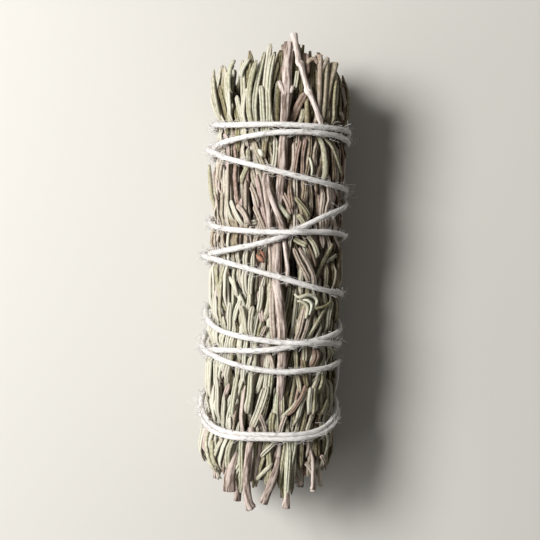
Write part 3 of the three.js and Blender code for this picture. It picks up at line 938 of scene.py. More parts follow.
def growLeaf(store):
    best = None
    for _ in range(outerLeaves["tries"]):
        arc = draw.uniform(0, girth)
        along = draw.uniform(-outerLeaves["placeMost"], outerLeaves["placeMost"])
        owner = nearestStem(arc, along)
        sign = outerStems[owner]["sign"]
        length = bounded(outerLeaves["length"])
        end = endOf(arc) + min(draw.normal(-1.0, outerLeaves["endSpread"]), outerLeaves["endMost"])
        limit = end - length / 2
        along = float(np.clip(along, -limit, limit))
        loose = draw.random() < outerLeaves["looseShare"]
        spread = outerLeaves["looseSlant"] if loose else outerLeaves["slant"]
        length = length * outerLeaves["looseLength"] if loose else length
        lean = math.radians(slantAt(arc, along) + draw.normal(0, spread))
        lean = lean if sign > 0 else lean + math.pi
        bow = draw.normal(0, outerLeaves["looseBow"] if loose else outerLeaves["bow"])
        line = leafLine(arc, along, length, lean, bow, fineRows)
        bridged, cells = layOnHeap(*line, outerLeaves["width"][0])
        cost = bridged.mean() + outerLeaves["peakCost"] * bridged.max()
        room = np.min(ceiling[cells].min(axis=0) - bridged)
        if room > outerLeaves["leafHeight"] and (best is None or cost < best[0]):
            best = (cost, line, bridged, cells, owner, length)
    if best is None:
        return False
    cost, line, bridged, cells, owner, length = best
    lift = draw.uniform(0, 1) * outerLeaves["tipLift"] * smoothStep(fineRows, outerLeaves["liftFrom"], 1)
    height = np.maximum(bridged - rootDip(outerLeaves["rootDip"]), 0) + lift
    settings = leafSettings(outerStems[owner], length, line[1][middleRow])
    settings["owner"] = owner
    recordLeaf(store, *line, height, settings)
    markHeap(cells, height + outerLeaves["leafHeight"])
    return True


def keepClear(arcs, alongs, width, depth):
    # Holds the heap of leaves down by a depth along a line, where something is laid on it later
    offsets = np.arange(-width / 2, width / 2 + 0.01, outerLeaves["cell"] / 2)
    cells = heapCells(arcs[:, None] + offsets, alongs[:, None] + 0 * offsets)
    cells = np.unique(np.stack([cells[0].ravel(), cells[1].ravel()]), axis=1)
    ceiling[cells[0], cells[1]] -= depth


def makeHollows():
    rows = (np.arange(heapShape[0]) + 0.5) * girth / heapShape[0]
    columns = (np.arange(heapShape[1]) + 0.5) * outerLeaves["cell"] - outerLeaves["halfLength"]
    for x, y, reachX, reachY, depth in frontLeaves["hollows"]:
        away = np.hypot((rows - arcOver(x))[:, None] / reachX, (columns - y)[None] / reachY)
        np.minimum(ceiling, bundle["leafDepth"] - depth * smoothStep(-away, -1.2, -0.7), out=ceiling)


# Leaves laid last on the front: tip and root, each to the right of the axis and along it, and
# width. The tones give lightness and share of brown. Hollows are the dark gaps among the leaves:
# place, reach across and along, and depth.
frontLeaves = {
    "cream": (
        (-3.5, 47.5, -3.5, 29, 1.3), (-9.5, 44, -9, 28, 1.3), (-13, 43, -12.5, 30, 1.3),
        (-14, 42, -13.5, 29, 1.4), (-10, 36.5, -9, 27, 1.2), (-8, 38, -8, 26, 1.2),
        (-7, 37, -6, 27, 1.1), (-1.5, 28, -2, 20, 1.3), (-11, 35, -12.5, 30, 1.2),
        (-10.5, 14.5, -8, 9, 1.2), (-5.5, -5, -6, -8.5, 1.2), (-3, -3, -3.5, -9, 1.1),
        (-1, -2, -2, -10.5, 1.4), (-4.5, -7.5, -5, -14, 1.2), (-7.5, -7.5, -6, -14, 1.2),
        (-9.5, -1, -8.5, -6, 1.3), (8.5, -25, 6.5, -31, 1.1), (9, -24, 9.5, -30, 1.3),
        (2, -35.5, -1.5, -39, 1.0), (-2, -21.5, -3.5, -26, 1.2), (-1.5, -24.5, -5, -33.5, 1.1),
        (-0.5, -24, -4, -33.5, 1.1), (-11.5, 14.5, -10, 10, 0.9), (-14.6, 41.5, -14.4, 30, 1.2),
        (-14.9, 37.5, -14.8, 29, 1.2), (-12, 41.5, -11.8, 31, 1.2), (-11.2, 43, -11.2, 35, 1.0),
        (-8, 44.2, -9.3, 40, 1.0), (-7.6, 9.7, -5.1, 10.2, 1.1),
    ),
    "green": (
        (-5.5, 46, -6, 29, 1.3), (-6.5, 44, -6.5, 28, 1.2), (-2.5, 45.5, -2, 29, 1.2),
        (-5, 38.5, -4.5, 27, 1.2), (-3.5, 38, -3.5, 27, 1.2), (-0.5, 14.5, 3, 11, 1.2),
        (-4.5, -21, -5, -30, 1.3), (-13.5, -34.5, -11.5, -43, 1.0), (-12.5, -36.5, -11, -42, 1.0),
        (-6.5, -47, -6.5, -33, 1.1), (-2.5, -42.5, -2.5, -33, 0.9), (1.5, -24.5, 1.5, -31, 1.0),
        (2, -25, 2.5, -34, 1.0), (5.5, -47.5, 7, -33, 1.2), (5, -47, 5, -33, 1.0),
        (12.5, -41.5, 13.5, -33, 1.0), (-10.5, 44, -11, 37, 1.1), (2.5, 39, 2, 35, 0.8),
        (3, 42, 2.5, 38, 1.0),
    ),
    "olive": (
        (10.5, 19, 9, 29.5, 1.3), (14, 21, 10, 29, 1.1), (3.5, 15.5, 7.5, 11, 1.1),
        (4.5, 12, 7, 9, 1.2), (4, 7, 7, 5.5, 1.3), (7, 8, 9.5, 3, 1.1), (12.5, 6.5, 10, -2, 1.0),
        (12.5, -6.5, 8.5, -14, 1.1), (13, -5.5, 13, -12.5, 1.2), (12, -21, 11, -26, 1.2),
        (13.5, -26.5, 11.5, -30, 1.0), (-2.5, -44, 1.5, -40, 1.0), (10.5, 40, 10.5, 32, 1.0),
        (11.5, 41, 12, 31, 1.0), (-7.5, 25.5, -9, 18, 1.1), (-16.5, 22, -14.5, 15, 0.9),
        (4, -22, 3.5, -30, 1.0), (-9, -42, -7.5, -34, 1.2), (12.2, 2.4, 14, 4.3, 0.9),
        (10, -24, 10, -30, 1.1), (-0.5, 26, 0.5, 23, 0.9), (1, -29.5, 1, -34, 1.3),
        (-2.5, -10.5, -3.5, -15, 1.2),
    ),
    "tan": (
        (3, 27, 2.5, 19, 1.3), (-5.5, 13.5, -3, 8, 1.2),
        (-6.5, 17.5, -4.5, 13, 1.1), (-9, 13.5, -6.5, 9.5, 1.2), (4, 5, 8.5, -2.5, 1.1),
        (5, 5, 10, -3.5, 1.1), (7, -7.5, 5.5, -15, 1.1), (8.5, -8, 7, -15, 1.1),
        (-1.5, 5.5, -1, -1, 1.3), (-0.5, -3.5, 0.5, -15, 1.4), (-1.5, -11.5, -3, -14, 0.9),
        (-2, -30, -0.5, -34, 1.2), (13, 34.5, 14, 33, 0.9), (13.5, 40, 14.5, 36, 1.0),
        (-0.5, -17.5, 0.5, -21, 1.1), (4, -30, 3, -34, 1.2),
        (9.5, -40, 11, -42.5, 1.0), (12, -38.5, 13.2, -41.5, 0.9), (8.2, -43.5, 10.2, -45, 0.9),
    ),
    "brown": (
        (-0.5, 43, 0, 36, 1.3), (5, 37.5, 2.5, 31, 1.9), (3, 12, 0, 18, 1.3), (2.5, 18, 3, 13, 1.0),
        (4, -16.5, 3.5, -21, 1.2), (10, -16, 9.5, -20, 1.9), (5, 46, 5, 41, 1.8),
        (4.5, 27.5, 3.5, 19.5, 0.9), (5.5, 28, 5.5, 19.5, 0.9), (8, -23.5, 4.5, -30, 0.9),
    ),
    "tones": {
        "cream": (0.6, 0.18), "green": (0.56, 0.0), "olive": (0.45, 0.05), "tan": (0.58, 0.65),
        "brown": (0.4, 0.9),
    },
    "hollows": (
        (6.4, 42.2, 0.9, 2.2, 2.4), (4.5, 0.8, 1.2, 2.6, 3.2), (-2.9, 3.8, 1.1, 1.8, 2.2),
        (-2.5, -19.2, 1.2, 1.0, 2.4), (4.9, -23.5, 1.2, 2.5, 2.6), (-2.3, -38.5, 1.2, 1.6, 2.4),
        (1.9, 33.1, 0.6, 2.2, 2.4), (-10.7, 38.8, 0.7, 3.0, 2.0), (-6.2, 40.6, 0.6, 1.6, 2.0),
        (0.2, -29.5, 0.8, 2.5, 2.4), (2.0, -23.0, 0.6, 2.0, 2.4), (-9.8, 21.5, 0.6, 1.4, 2.0),
        (1.4, 15.6, 0.5, 2.5, 1.6), (9.0, -42.5, 1.2, 1.6, 2.2), (-3.1, -27.5, 0.6, 2.6, 2.0),
        (3.6, -27.0, 0.6, 2.4, 2.2), (-9.6, -28.0, 0.5, 2.4, 1.6), (-6.6, 21.5, 0.6, 2.0, 1.8),
        (-11.5, 20.0, 0.5, 2.0, 1.8), (8.6, 11.5, 0.8, 1.6, 2.0), (2.2, -38.2, 0.6, 1.8, 2.0),
        (11.0, 3.0, 0.6, 2.0, 2.0), (5.0, -10.5, 0.5, 2.4, 2.2), (-5.2, 6.0, 0.5, 2.0, 1.6),
    ),
    "bow": 0.06,
    "reachMost": 15.0,
    "sunk": 0.42,
    "rootDip": 0.8,
    "toneSpread": 0.05,
    "roll": 0.12,
    "blunt": (0.6, 1),
}


def frontRows():
    for kind, (tone, brown) in frontLeaves["tones"].items():
        for tipX, tipY, rootX, rootY, width in frontLeaves[kind]:
            yield (tipX, tipY, rootX, rootY, width), tone, brown


def frontLine(row):
    tipX, tipY, rootX, rootY, width = row
    share = fineRows
    length = math.hypot(tipX - rootX, tipY - rootY)
    bow = frontLeaves["bow"] * length * math.sin(5 * tipX + 3 * tipY)
    x = rootX + (tipX - rootX) * share + bow * 4 * share * (1 - share)
    most = frontLeaves["reachMost"]
    return arcOver(np.clip(x, -most, most)), rootY + (tipY - rootY) * share


# Step along the lines where the heap of leaves is held down
clearStep = 0.2


def prepareFront():
    alongs, arcs, radii = frontStemLine(clearStep)
    clear = frontStem["clear"]
    shown = (alongs > clear["from"]) & ((alongs > clear["above"]) | (alongs < clear["below"]))
    keepClear(arcs[shown], alongs[shown], clear["width"], clear["depth"])
    makeHollows()
    for row, tone, brown in frontRows():
        keepClear(*frontLine(row), row[4], frontLeaves["sunk"])
    for stick in frontSticks:
        alongs, arcs, radiusAndDepth = stickLine(stick["points"], clearStep)
        firstRadius = stick["points"][0][2]
        keepClear(arcs, alongs, 2 * firstRadius, stickShape["clearDepth"] * firstRadius)


def rootDip(depth):
    return depth * np.clip(1 - fineRows / outerLeaves["dipLength"], 0, 1) ** 2


def layFrontLeaves():
    store = {}
    highest = bundle["leafDepth"] - outerLeaves["leafHeight"]
    for row, tone, brown in frontRows():
        line = frontLine(row)
        bridged, cells = layOnHeap(*line, row[4])
        height = np.clip(np.minimum(bridged, highest) - rootDip(frontLeaves["rootDip"]), 0, None)
        owner = nearestStem(line[0][middleRow], line[1][middleRow])
        length = math.hypot(row[0] - row[2], row[1] - row[3])
        settings = leafSettings(outerStems[owner], length, line[1][middleRow])
        settings["width"] = row[4]
        settings["tone"] = tone + draw.normal(0, frontLeaves["toneSpread"])
        settings["brown"] = brown
        settings["roll"] = draw.normal(0, frontLeaves["roll"])
        settings["blunt"] = draw.uniform(*frontLeaves["blunt"])
        settings["owner"] = owner
        recordLeaf(store, *line, height, settings)
        markHeap(cells, height + outerLeaves["leafHeight"])
    return {key: np.array(values) for key, values in store.items()}


# Cut stems, forks, curls and the torn flake on the front: each point is the place to the right of
# the axis and along it, the radius and how far below the outermost leaves it lies
stickShape = {
    "sides": 18,
    "step": 0.35,
    "fissures": 0.07,
    "ridges": 0.06,
    "clearDepth": 1.6,
    "tone": 0.5,
    "finishes": {"bark": (1, 2), "leaf": (0, 0), "flake": (3, 3)},
}
frontSticks = (
    {"finish": "bark", "tone": 0.56, "points": (
        (-4.3, -33.0, 0.7, 1.2), (-3.9, -35.5, 0.75, 0.3), (-4.3, -41.6, 0.78, 0.1), (-4.2, -45.1, 0.82, 0.1),
        (-3.6, -48.4, 0.9, 0.2), (-3.1, -49.6, 1.12, 0.3))},
    {"finish": "bark", "tone": 0.54, "points": (
        (3.4, -37.0, 0.5, 2.4), (2.6, -40.7, 0.6, 1.6), (1.6, -43.3, 0.78, 0.4), (0.6, -46.0, 0.78, 0.2),
        (-0.3, -48.4, 0.88, 0.3))},
    {"finish": "bark", "tone": 0.55, "points": (
        (-8.3, -38.5, 0.7, 2.6), (-8.5, -41.4, 1.1, 1.3), (-8.65, -43.5, 1.2, 0.7),
        (-8.7, -46.6, 1.42, 0.5))},
    {"finish": "bark", "tone": 0.62, "points": (
        (10.0, -36.0, 0.45, 2.0), (10.5, -39.4, 0.42, 0.8), (10.6, -44.4, 0.4, 0.5),
        (10.6, -45.5, 0.55, 0.5))},
    {"finish": "leaf", "tone": 0.58, "brown": 0.5, "points": (
        (12.2, -39.5, 0.4, 1.8), (12.6, -42.5, 0.48, 1.0), (12.9, -45.2, 0.55, 0.9))},
    {"finish": "leaf", "tone": 0.62, "brown": 0.6, "points": (
        (11.6, -40.5, 0.4, 2.2), (11.7, -43.5, 0.45, 1.3), (11.5, -46.3, 0.6, 1.2))},
    {"finish": "leaf", "tone": 0.5, "points": (
        (5.2, -37.0, 0.5, 1.8), (5.1, -41.2, 0.62, 1.2), (5.1, -46.5, 0.6, 0.9), (5.1, -47.6, 0.6, 0.8))},
    {"finish": "bark", "tone": 0.7, "points": (
        (5.1, -46.0, 0.5, 0.9), (5.1, -47.4, 0.6, 0.75), (5.1, -48.3, 0.78, 0.75), (5.1, -49.3, 0.9, 0.8))},
    {"finish": "leaf", "tone": 0.45, "brown": 0.7, "points": (
        (8.2, 31.0, 0.5, 1.2), (8.1, 36.4, 0.5, 0.5), (7.9, 41.3, 0.5, 0.3), (7.7, 44.6, 0.48, 0.2),
        (7.7, 45.5, 0.62, 0.2))},
    {"finish": "leaf", "tone": 0.5, "brown": 0.6, "points": (
        (7.9, 41.0, 0.4, 0.6), (8.6, 43.4, 0.42, 0.3), (9.4, 45.2, 0.5, 0.2))},
    {"finish": "leaf", "tone": 0.42, "brown": 0.7, "points": (
        (4.9, 43.0, 0.4, 1.2), (5.6, 44.3, 0.42, 0.6), (6.5, 44.7, 0.42, 0.4), (7.4, 43.8, 0.4, 0.5))},
    {"finish": "leaf", "tone": 0.4, "brown": 0.5, "points": (
        (10.2, 34.5, 0.5, 1.0), (10.5, 40.2, 0.5, 0.4), (11.1, 43.2, 0.75, 0.2), (11.3, 44.4, 0.95, 0.1))},
    {"finish": "leaf", "tone": 0.42, "brown": 0.4, "points": (
        (9.4, 29.5, 0.5, 1.2), (9.4, 37.0, 0.55, 0.5), (9.4, 44.7, 0.6, 0.3))},
    {"finish": "bark", "tone": 0.6, "points": (
        (-3.6, 20.5, 0.45, 1.0), (-3.2, 17.8, 0.52, 0.3), (-2.2, 12.6, 0.55, 0.2), (-1.5, 8.7, 0.6, 0.3),
        (-1.2, 6.0, 0.5, 1.4))},
    {"finish": "bark", "tone": 0.64, "points": (
        (-2.9, 20.0, 0.45, 1.0), (-2.3, 17.4, 0.48, 0.2), (-1.4, 14.7, 0.56, 0.1), (1.3, 9.0, 0.6, 0.2),
        (1.9, 6.5, 0.5, 0.8))},
    {"finish": "bark", "tone": 0.78, "points": (
        (1.6, 7.0, 0.4, 0.6), (2.1, 4.0, 0.45, 0.2), (2.9, -0.7, 0.45, 0.4), (3.2, -3.0, 0.4, 1.2))},
    {"finish": "leaf", "tone": 0.6, "brown": 0.05, "points": (
        (4.6, -4.6, 0.2, 0.9), (5.4, -5.2, 0.3, 0.3), (7.1, -4.7, 0.38, 0.0), (8.6, -4.9, 0.36, 0.1),
        (9.4, -5.8, 0.32, 0.2), (9.1, -6.9, 0.3, 0.4), (8.6, -7.9, 0.22, 0.6))},
    {"finish": "leaf", "tone": 0.8, "brown": 0.0, "points": (
        (6.4, -5.7, 0.16, 0.7), (7.3, -5.8, 0.3, 0.2), (8.2, -6.7, 0.34, 0.1), (7.8, -8.8, 0.3, 0.3))},
    {"finish": "leaf", "tone": 0.5, "brown": 0.1, "points": (
        (5.2, -6.0, 0.2, 0.7), (6.4, -6.3, 0.34, 0.25), (7.4, -7.2, 0.36, 0.2), (7.2, -9.6, 0.3, 0.4))},
    {"finish": "bark", "tone": 0.8, "points": (
        (-1.1, 39.6, 0.34, 0.3), (-0.8, 38.9, 0.52, 0.1), (-0.3, 37.8, 0.46, 0.1), (0.3, 36.4, 0.4, 0.5))},
    {"finish": "bark", "tone": 0.82, "points": (
        (1.9, 38.7, 0.34, 0.4), (1.8, 38.1, 0.48, 0.3), (1.4, 37.2, 0.4, 0.4))},
    {"finish": "leaf", "tone": 0.25, "brown": 0.0, "points": (
        (9.1, -7.4, 0.28, 0.3), (11.1, -6.9, 0.3, 0.1), (12.8, -5.8, 0.28, 0.3))},
    {"finish": "leaf", "tone": 0.85, "brown": 0.0, "points": (
        (-4.9, 25.2, 0.2, 0.6), (-4.5, 24.8, 0.4, 0.1), (-4.1, 24.3, 0.42, 0.0), (-3.9, 23.7, 0.22, 0.4))},
    {"finish": "leaf", "tone": 0.7, "brown": 0.0, "points": (
        (6.4, 24.0, 0.16, 0.6), (6.6, 23.0, 0.26, 0.1), (7.0, 21.4, 0.24, 0.1), (7.3, 20.2, 0.18, 0.3))},
    {"finish": "flake", "points": (
        (-4.5, 3.3, 0.2, 1.0), (-3.9, 2.8, 0.44, 0.6), (-3.2, 2.2, 0.5, 0.5), (-2.6, 1.7, 0.2, 0.9))},
    {"finish": "flake", "points": (
        (-3.9, 4.2, 0.15, 1.2), (-3.4, 3.8, 0.34, 0.9), (-2.8, 3.3, 0.3, 0.8), (-2.4, 2.7, 0.15, 1.1))},
    {"finish": "leaf", "tone": 0.42, "brown": 0.1, "points": (
        (-15.0, 12.0, 0.4, 1.6), (-15.0, 15.5, 0.48, 0.1), (-15.0, 19.5, 0.5, -0.55),
        (-15.0, 22.5, 0.3, -0.7))},
)


def stickLine(points, step):
    points = np.array(points)
    smooth = splineThrough(points, 10 * len(points))
    place = np.concatenate([[0], np.cumsum(np.hypot(*np.diff(smooth[:, :2], axis=0).T))])
    at = np.linspace(0, place[-1], max(4, int(place[-1] / step)))
    x, y, radius, depth = (np.interp(at, place, smooth[:, i]) for i in range(4))
    most = frontLeaves["reachMost"]
    return y, arcOver(np.clip(x, -most, most)), (radius, depth)


def stickPart(stick, seed):
    alongs, arcs, (radii, depth) = stickLine(stick["points"], stickShape["step"])
    angle = angleAt(arcs)
    path = onBundle(angle, alongs, crest(angle) - depth - radii - troughAt(arcs, alongs))
    finish = stickShape["finishes"][stick["finish"]]
    tone = (stick.get("tone", stickShape["tone"]), stick.get("brown", 0), 0)
    rough = stick["finish"] == "bark"
    ridges = fissures(stickShape["fissures"]) if rough else barkRidges(stickShape["ridges"], seed)
    owner = nearestStem(arcs[len(arcs) // 2], alongs[len(alongs) // 2])
    outward = outwardOf(path, alongs)
    return owner, tubePart(path, radii, stickShape["sides"], outward, finish, tone, seed, ridges)


# The brown stem that shows along the middle of the front: height, place to the right, radius
frontStem = {
    "points": (
        (47.8, 0.7, 0.95), (43.0, 0.6, 0.95), (38.3, 0.7, 0.98), (36.8, 0.7, 1.15), (34.0, 0.6, 0.95),
        (29.5, 0.5, 0.9), (24.0, 0.5, 0.88), (22.6, 0.6, 1.05), (19.0, 0.4, 0.92), (12.0, 0.1, 0.85),
        (4.0, 0.2, 0.92), (-3.0, 0.6, 1.0), (-9.0, 1.7, 1.04), (-15.0, 2.5, 1.05), (-20.5, 2.6, 1.0),
        (-26.0, 2.7, 0.85), (-34.0, 2.9, 0.75), (-39.0, 3.0, 0.6),
    ),
    "depth": 0.15,
    "covered": {"low": (7, 9), "high": (16.5, 19), "depth": 1.4},
    "sunk": {"from": (21, 26), "depth": 1.8},
    "clear": {"from": -24, "above": 17, "below": 8, "width": 2.0, "depth": 2.2},
    "step": 0.4,
    "fissures": 0.06,
    "tone": 0.61,
    "sides": 28,
}


def frontStemLine(step):
    points = np.array(frontStem["points"])[::-1]
    alongs = np.arange(points[0, 0], points[-1, 0] + step / 2, step)
    x, radii = (np.interp(alongs, points[:, 0], points[:, i]) for i in (1, 2))
    return alongs, arcOver(x), radii


def growShell():
    store = {}
    grown = sum(growLeaf(store) for _ in range(outerLeaves["count"]))
    print("outer leaves:", grown, "of", outerLeaves["count"])
    return {key: np.array(values) for key, values in store.items()}


prepareFront()
shell = growShell()
laid = layFrontLeaves()

# Tufts of the inner stems, which show at both ends of the bundle
tufts = {
    "tip": 32,
    "cut": 18,
    "length": (14, 2.5, 8, 18),
    "tipStart": (4, 26),
    "cutStart": (1, 8),
    "rootBack": 0.7,
    "reach": (1.2, 3.3),
    "root": 0.5,
    "end": 46.0,
    "thicker": 1.4,
}


def tuftPart(stem):
    rows = leafRows[None]
    count = tufts["tip"] + tufts["cut"]
    tipward = np.arange(count) < tufts["tip"]
    length = np.array([bounded(tufts["length"]) for _ in range(count)])
    tipStart = draw.uniform(*tufts["tipStart"], count)
    cutStart = draw.uniform(*tufts["cutStart"], count)
    nearTip = stem["end"] - stem["sign"] * (tipStart + length * tufts["rootBack"])
    nearCut = stem["cut"] + stem["sign"] * cutStart
    reachOut = min(abs(stem["end"]), tufts["end"]) - draw.uniform(0, 3, count)
    tipAt = np.where(tipward, nearTip, nearCut) + stem["sign"] * length
    rootAt = np.clip(tipAt, -reachOut, reachOut) - stem["sign"] * length
    around = draw.uniform(0, 2 * np.pi, count)
    reach = draw.uniform(*tufts["reach"], count)
    alongs = rootAt[:, None] + stem["sign"] * length[:, None] * rows
    center = stemPath(stem, alongs)
    away = reach[:, None] * (1 - (1 - rows) ** 2.5) + tufts["root"]
    direction = np.stack([np.cos(around), 0 * around, np.sin(around)], axis=-1)[:, None]
    path = center + away[..., None] * direction
    tangent = unit(np.gradient(path, axis=1))
    across = unit(np.cross(tangent, np.broadcast_to(direction, tangent.shape)))
    up = np.cross(across, tangent)
    settings = [leafSettings(stem, 1.0, stem["end"]) for _ in range(count)]
    leaves = {key: np.array([s[key] for s in settings]) for key in settings[0]}
    leaves["length"] = length
    leaves["blunt"] = 0.6 + 0.4 * leaves["blunt"]
    leaves["thickness"] = leaves["thickness"] * tufts["thicker"]
    u, z = leafProfiles(leaves)
    points = path[:, :, None] + u[..., None] * across[:, :, None] + z[..., None] * up[:, :, None]
    return leafPart(leaves, points)


def stemPart(stem, outer):
    far = stem["end"] - stem["sign"] * stemSize["leafyTip"]
    hidden = stemSize["cutBack"] * smoothStep(math.sin(stem["angle"]), -0.1, 0.2) * outer
    cut = stem["cut"] + stem["sign"] * hidden
    count = max(8, int(abs(far - cut) / stemSize["step"]))
    alongs = np.linspace(cut, far, count)
    share = np.linspace(0, 1, count)
    bare = stemSize["root"] + (stemSize["tip"] - stemSize["root"]) * share
    fromCut = np.abs(alongs - stem["cut"])
    leafy = smoothStep(fromCut, stemSize["bareEnd"], stemSize["bareEnd"] + 4) * smoothStep(share, 1.0, 0.85)
    radius = bare + (stemSize["thick"] - bare) * leafy * (1 + 0.12 * np.sin(3 * alongs + stem["phase"]))
    path = stemPath(stem, alongs)
    ridges = barkRidges(stemSize["ridges"], stem["phase"], stemSize["leafNodes"])
    tone = (stemSize["tone"] + stemSize["toneSpread"] * stem["tone"], 0, 0)
    outward, seed = outwardOf(path, alongs), stem["phase"] * 5
    return tubePart(path, radius, stemSize["sides"], outward, (1, 2), tone, seed, ridges)


def makeSprigs():
    finishes = [leafMaterial, barkMaterial, woodMaterial, flakeMaterial]
    sticks = [stickPart(stick, 3.0 + i) for i, stick in enumerate(frontSticks)]
    for index, stem in enumerate(outerStems):
        parts = [shellPart(pickLeaves(leaves, leaves["owner"] == index)) for leaves in (shell, laid)
                 if np.any(leaves["owner"] == index)]
        parts += [part for owner, part in sticks if owner == index]
        parts.append(frontStemPart() if stem is barkStem else stemPart(stem, True))
        makePiece("leafy_" + stem["name"], parts, finishes, [stem["name"]])
    for stem in innerStems:
        parts = [tuftPart(stem), stemPart(stem, False)]
        makePiece("leafy_" + stem["name"], parts, finishes, [stem["name"]])


def frontStemPart():
    # The stem dips under the leaves along one stretch above the middle, and at its lower end
    alongs, arcs, radii = frontStemLine(frontStem["step"])
    covered, sunk = frontStem["covered"], frontStem["sunk"]
    under = smoothStep(alongs, *covered["low"]) * (1 - smoothStep(alongs, *covered["high"]))
    depth = frontStem["depth"] + radii
    depth = depth + smoothStep(-alongs, *sunk["from"]) * sunk["depth"] + under * covered["depth"]
    angle = angleAt(arcs)
    path = onBundle(angle, alongs, crest(angle) - depth - troughAt(arcs, alongs))
    outward, tone = outwardOf(path, alongs), (frontStem["tone"], 0, 0)
    ridges = fissures(frontStem["fissures"])
    return tubePart(path, radii, frontStem["sides"], outward, (1, 2), tone, 3.0, ridges)


makeSprigs()
print("leafy stems made")

# The bare twig on the front at the upper end: height, place to the right, radius
bareTwig = {
    "points": (
        (49.8, 1.6, 0.78), (49.0, 1.7, 0.86), (48.0, 2.0, 0.68), (46.4, 2.5, 0.6), (44.6, 2.9, 0.6),
        (43.7, 3.0, 0.72), (43.3, 3.5, 0.92), (42.8, 3.7, 0.62), (40.6, 4.4, 0.56), (38.7, 5.1, 0.58),
        (38.0, 5.2, 0.74), (37.6, 5.6, 0.9), (37.1, 5.9, 0.6), (35.0, 7.0, 0.54), (33.2, 8.0, 0.54),
        (32.5, 8.5, 0.74), (31.9, 8.8, 0.56), (28.6, 9.8, 0.45),
    ),
    "tuckFrom": (31.0, 35.5),
    "depth": 0.68,
    "twineGap": 0.05,
    "ridges": 0.03,
    "sides": 14,
    "tone": (0.88, 0, 0),
}


def makeBareTwig():
    # Its lower end is tucked in under the twine
    points = np.array(bareTwig["points"])[::-1]
    alongs = np.arange(points[0, 0], points[-1, 0], 0.2)
    x = np.interp(alongs, points[:, 0], points[:, 1])
    radii = np.interp(alongs, points[:, 0], points[:, 2])
    radii = np.convolve(np.pad(radii, 1, mode="edge"), np.ones(3) / 3, mode="valid")
    arcs = arcOver(x)
    angle = angleAt(arcs)
    free = crest(angle) - bareTwig["depth"]
    tucked = twineOutline(angle) - twineSize["radius"] - bareTwig["twineGap"] - radii
    share = smoothStep(alongs, *bareTwig["tuckFrom"])
    path = onBundle(angle, alongs, tucked + (free - tucked) * share)
    outward, ridges = outwardOf(path, alongs), barkRidges(bareTwig["ridges"], 0.4)
    part = tubePart(path, radii, bareTwig["sides"], outward, (0, 1), bareTwig["tone"], 9.0, ridges)
    makePiece("bare_cut_twig", [part], [barkMaterial, woodMaterial], ["bare_twig"])


makeBareTwig()


# Loose fibres that stand off the twine, more of them at its left turns
fuzz = {
    "count": 3600,
    "length": (0.6, 2.8),
    "radius": 0.034,
    "leftShare": 0.4,
    "leftEdge": 0.75,
    "leftAbove": -40,
    "underside": 0.9,
    "stand": (0.3, 1.2),
    "arch": (1.2, 2.6),
    "bend": 0.5,
    "rootSunk": 0.85,
    "aboveFloor": 0.1,
    "tone": (0.9, 0, 0),
}


def fuzzParts(path, thickness, angle, along):
    tangent = unit(np.gradient(path, axis=0))
    outward = outwardOf(path, along)
    side = np.cross(tangent, outward)
    leftTurns = np.flatnonzero((-np.cos(angle) > fuzz["leftEdge"]) & (along > fuzz["leftAbove"]))
    seen = np.flatnonzero(-np.sin(angle) < fuzz["underside"])
    parts = []
    for i in range(fuzz["count"]):
        pick = draw.choice(leftTurns if draw.random() < fuzz["leftShare"] else seen)
        turn = draw.uniform(-0.2, np.pi + 0.2)
        away = np.cos(turn) * side[pick] + np.sin(turn) * outward[pick]
        length = draw.uniform(*fuzz["length"])
        stand = draw.uniform(*fuzz["stand"])
        run = tangent[pick] * draw.choice((-1, 1))
        bend = unit(np.cross(run, away)) * draw.normal(0, fuzz["bend"])
        t = np.linspace(0, 1, 5)[:, None]
        lift = stand * np.sin(t * draw.uniform(*fuzz["arch"])) * 0.7
        line = path[pick] + away * (thickness[pick] * fuzz["rootSunk"] + lift * length * 0.5)
        line = line + (run * t + bend * t ** 2) * length * 0.8
        if line[:, 2].min() > fuzz["aboveFloor"]:
            parts.append(tubePart(line, fuzz["radius"], 3, away, (0, 0), fuzz["tone"], 0.1 * i))
    return parts


def makeTwine():
    count = round(twine["length"] / twineSize["pathStep"])
    order = np.linspace(0, len(twine["angle"]) - 1, count + 1)
    index = np.arange(len(twine["angle"]))
    angle, along, radius = (np.interp(order, index, twine[key]) for key in ("angle", "along", "radius"))
    path = onBundle(angle, along, radius)
    outward = onBundle(angle, along, radius + 1) - path
    depth, strands, pitch = twineSize["strandDepth"], twineSize["strands"], twineSize["pitch"]

    def lay(turn, at):
        twist = 2 * np.pi * at / pitch
        slub = twineSize["slub"] * (np.sin(0.9 * at) + np.sin(0.37 * at + 1))
        return 1 - depth + depth * np.abs(np.cos(strands / 2 * (turn - twist))) * 2 - depth + slub / 2

    tight = smoothStep(-along, -twineSize["tightAbove"] - 1, -twineSize["tightAbove"] + 3)
    thickness = twineSize["radius"] + (twineSize["tightRadius"] - twineSize["radius"]) * tight
    parts = [tubePart(path, thickness, twineSize["sides"], outward, (0, 0), twineSize["tone"], 0.0, lay)]
    fibres = fuzzParts(path, thickness, angle, along)
    makePiece("cotton_twine_fuzz", fibres, [cottonMaterial])
    for tail in knot["tails"]:
        stops = np.array([(math.radians(a), y, h) for a, y, h in tail])
        line = splineThrough(stops, 60)
        points = onBundle(line[:, 0], line[:, 1], twineOutline(line[:, 0]) + line[:, 2])
        away, radius = outwardOf(points, line[:, 1]), twineSize["radius"] * 0.95
        parts.append(tubePart(points, radius, twineSize["sides"], away, (0, 0), twineSize["tone"], 5.0, lay))
    parts.append(knotPart(lay))
    makePiece("cotton_twine_winding", parts, [cottonMaterial], ["twine"])


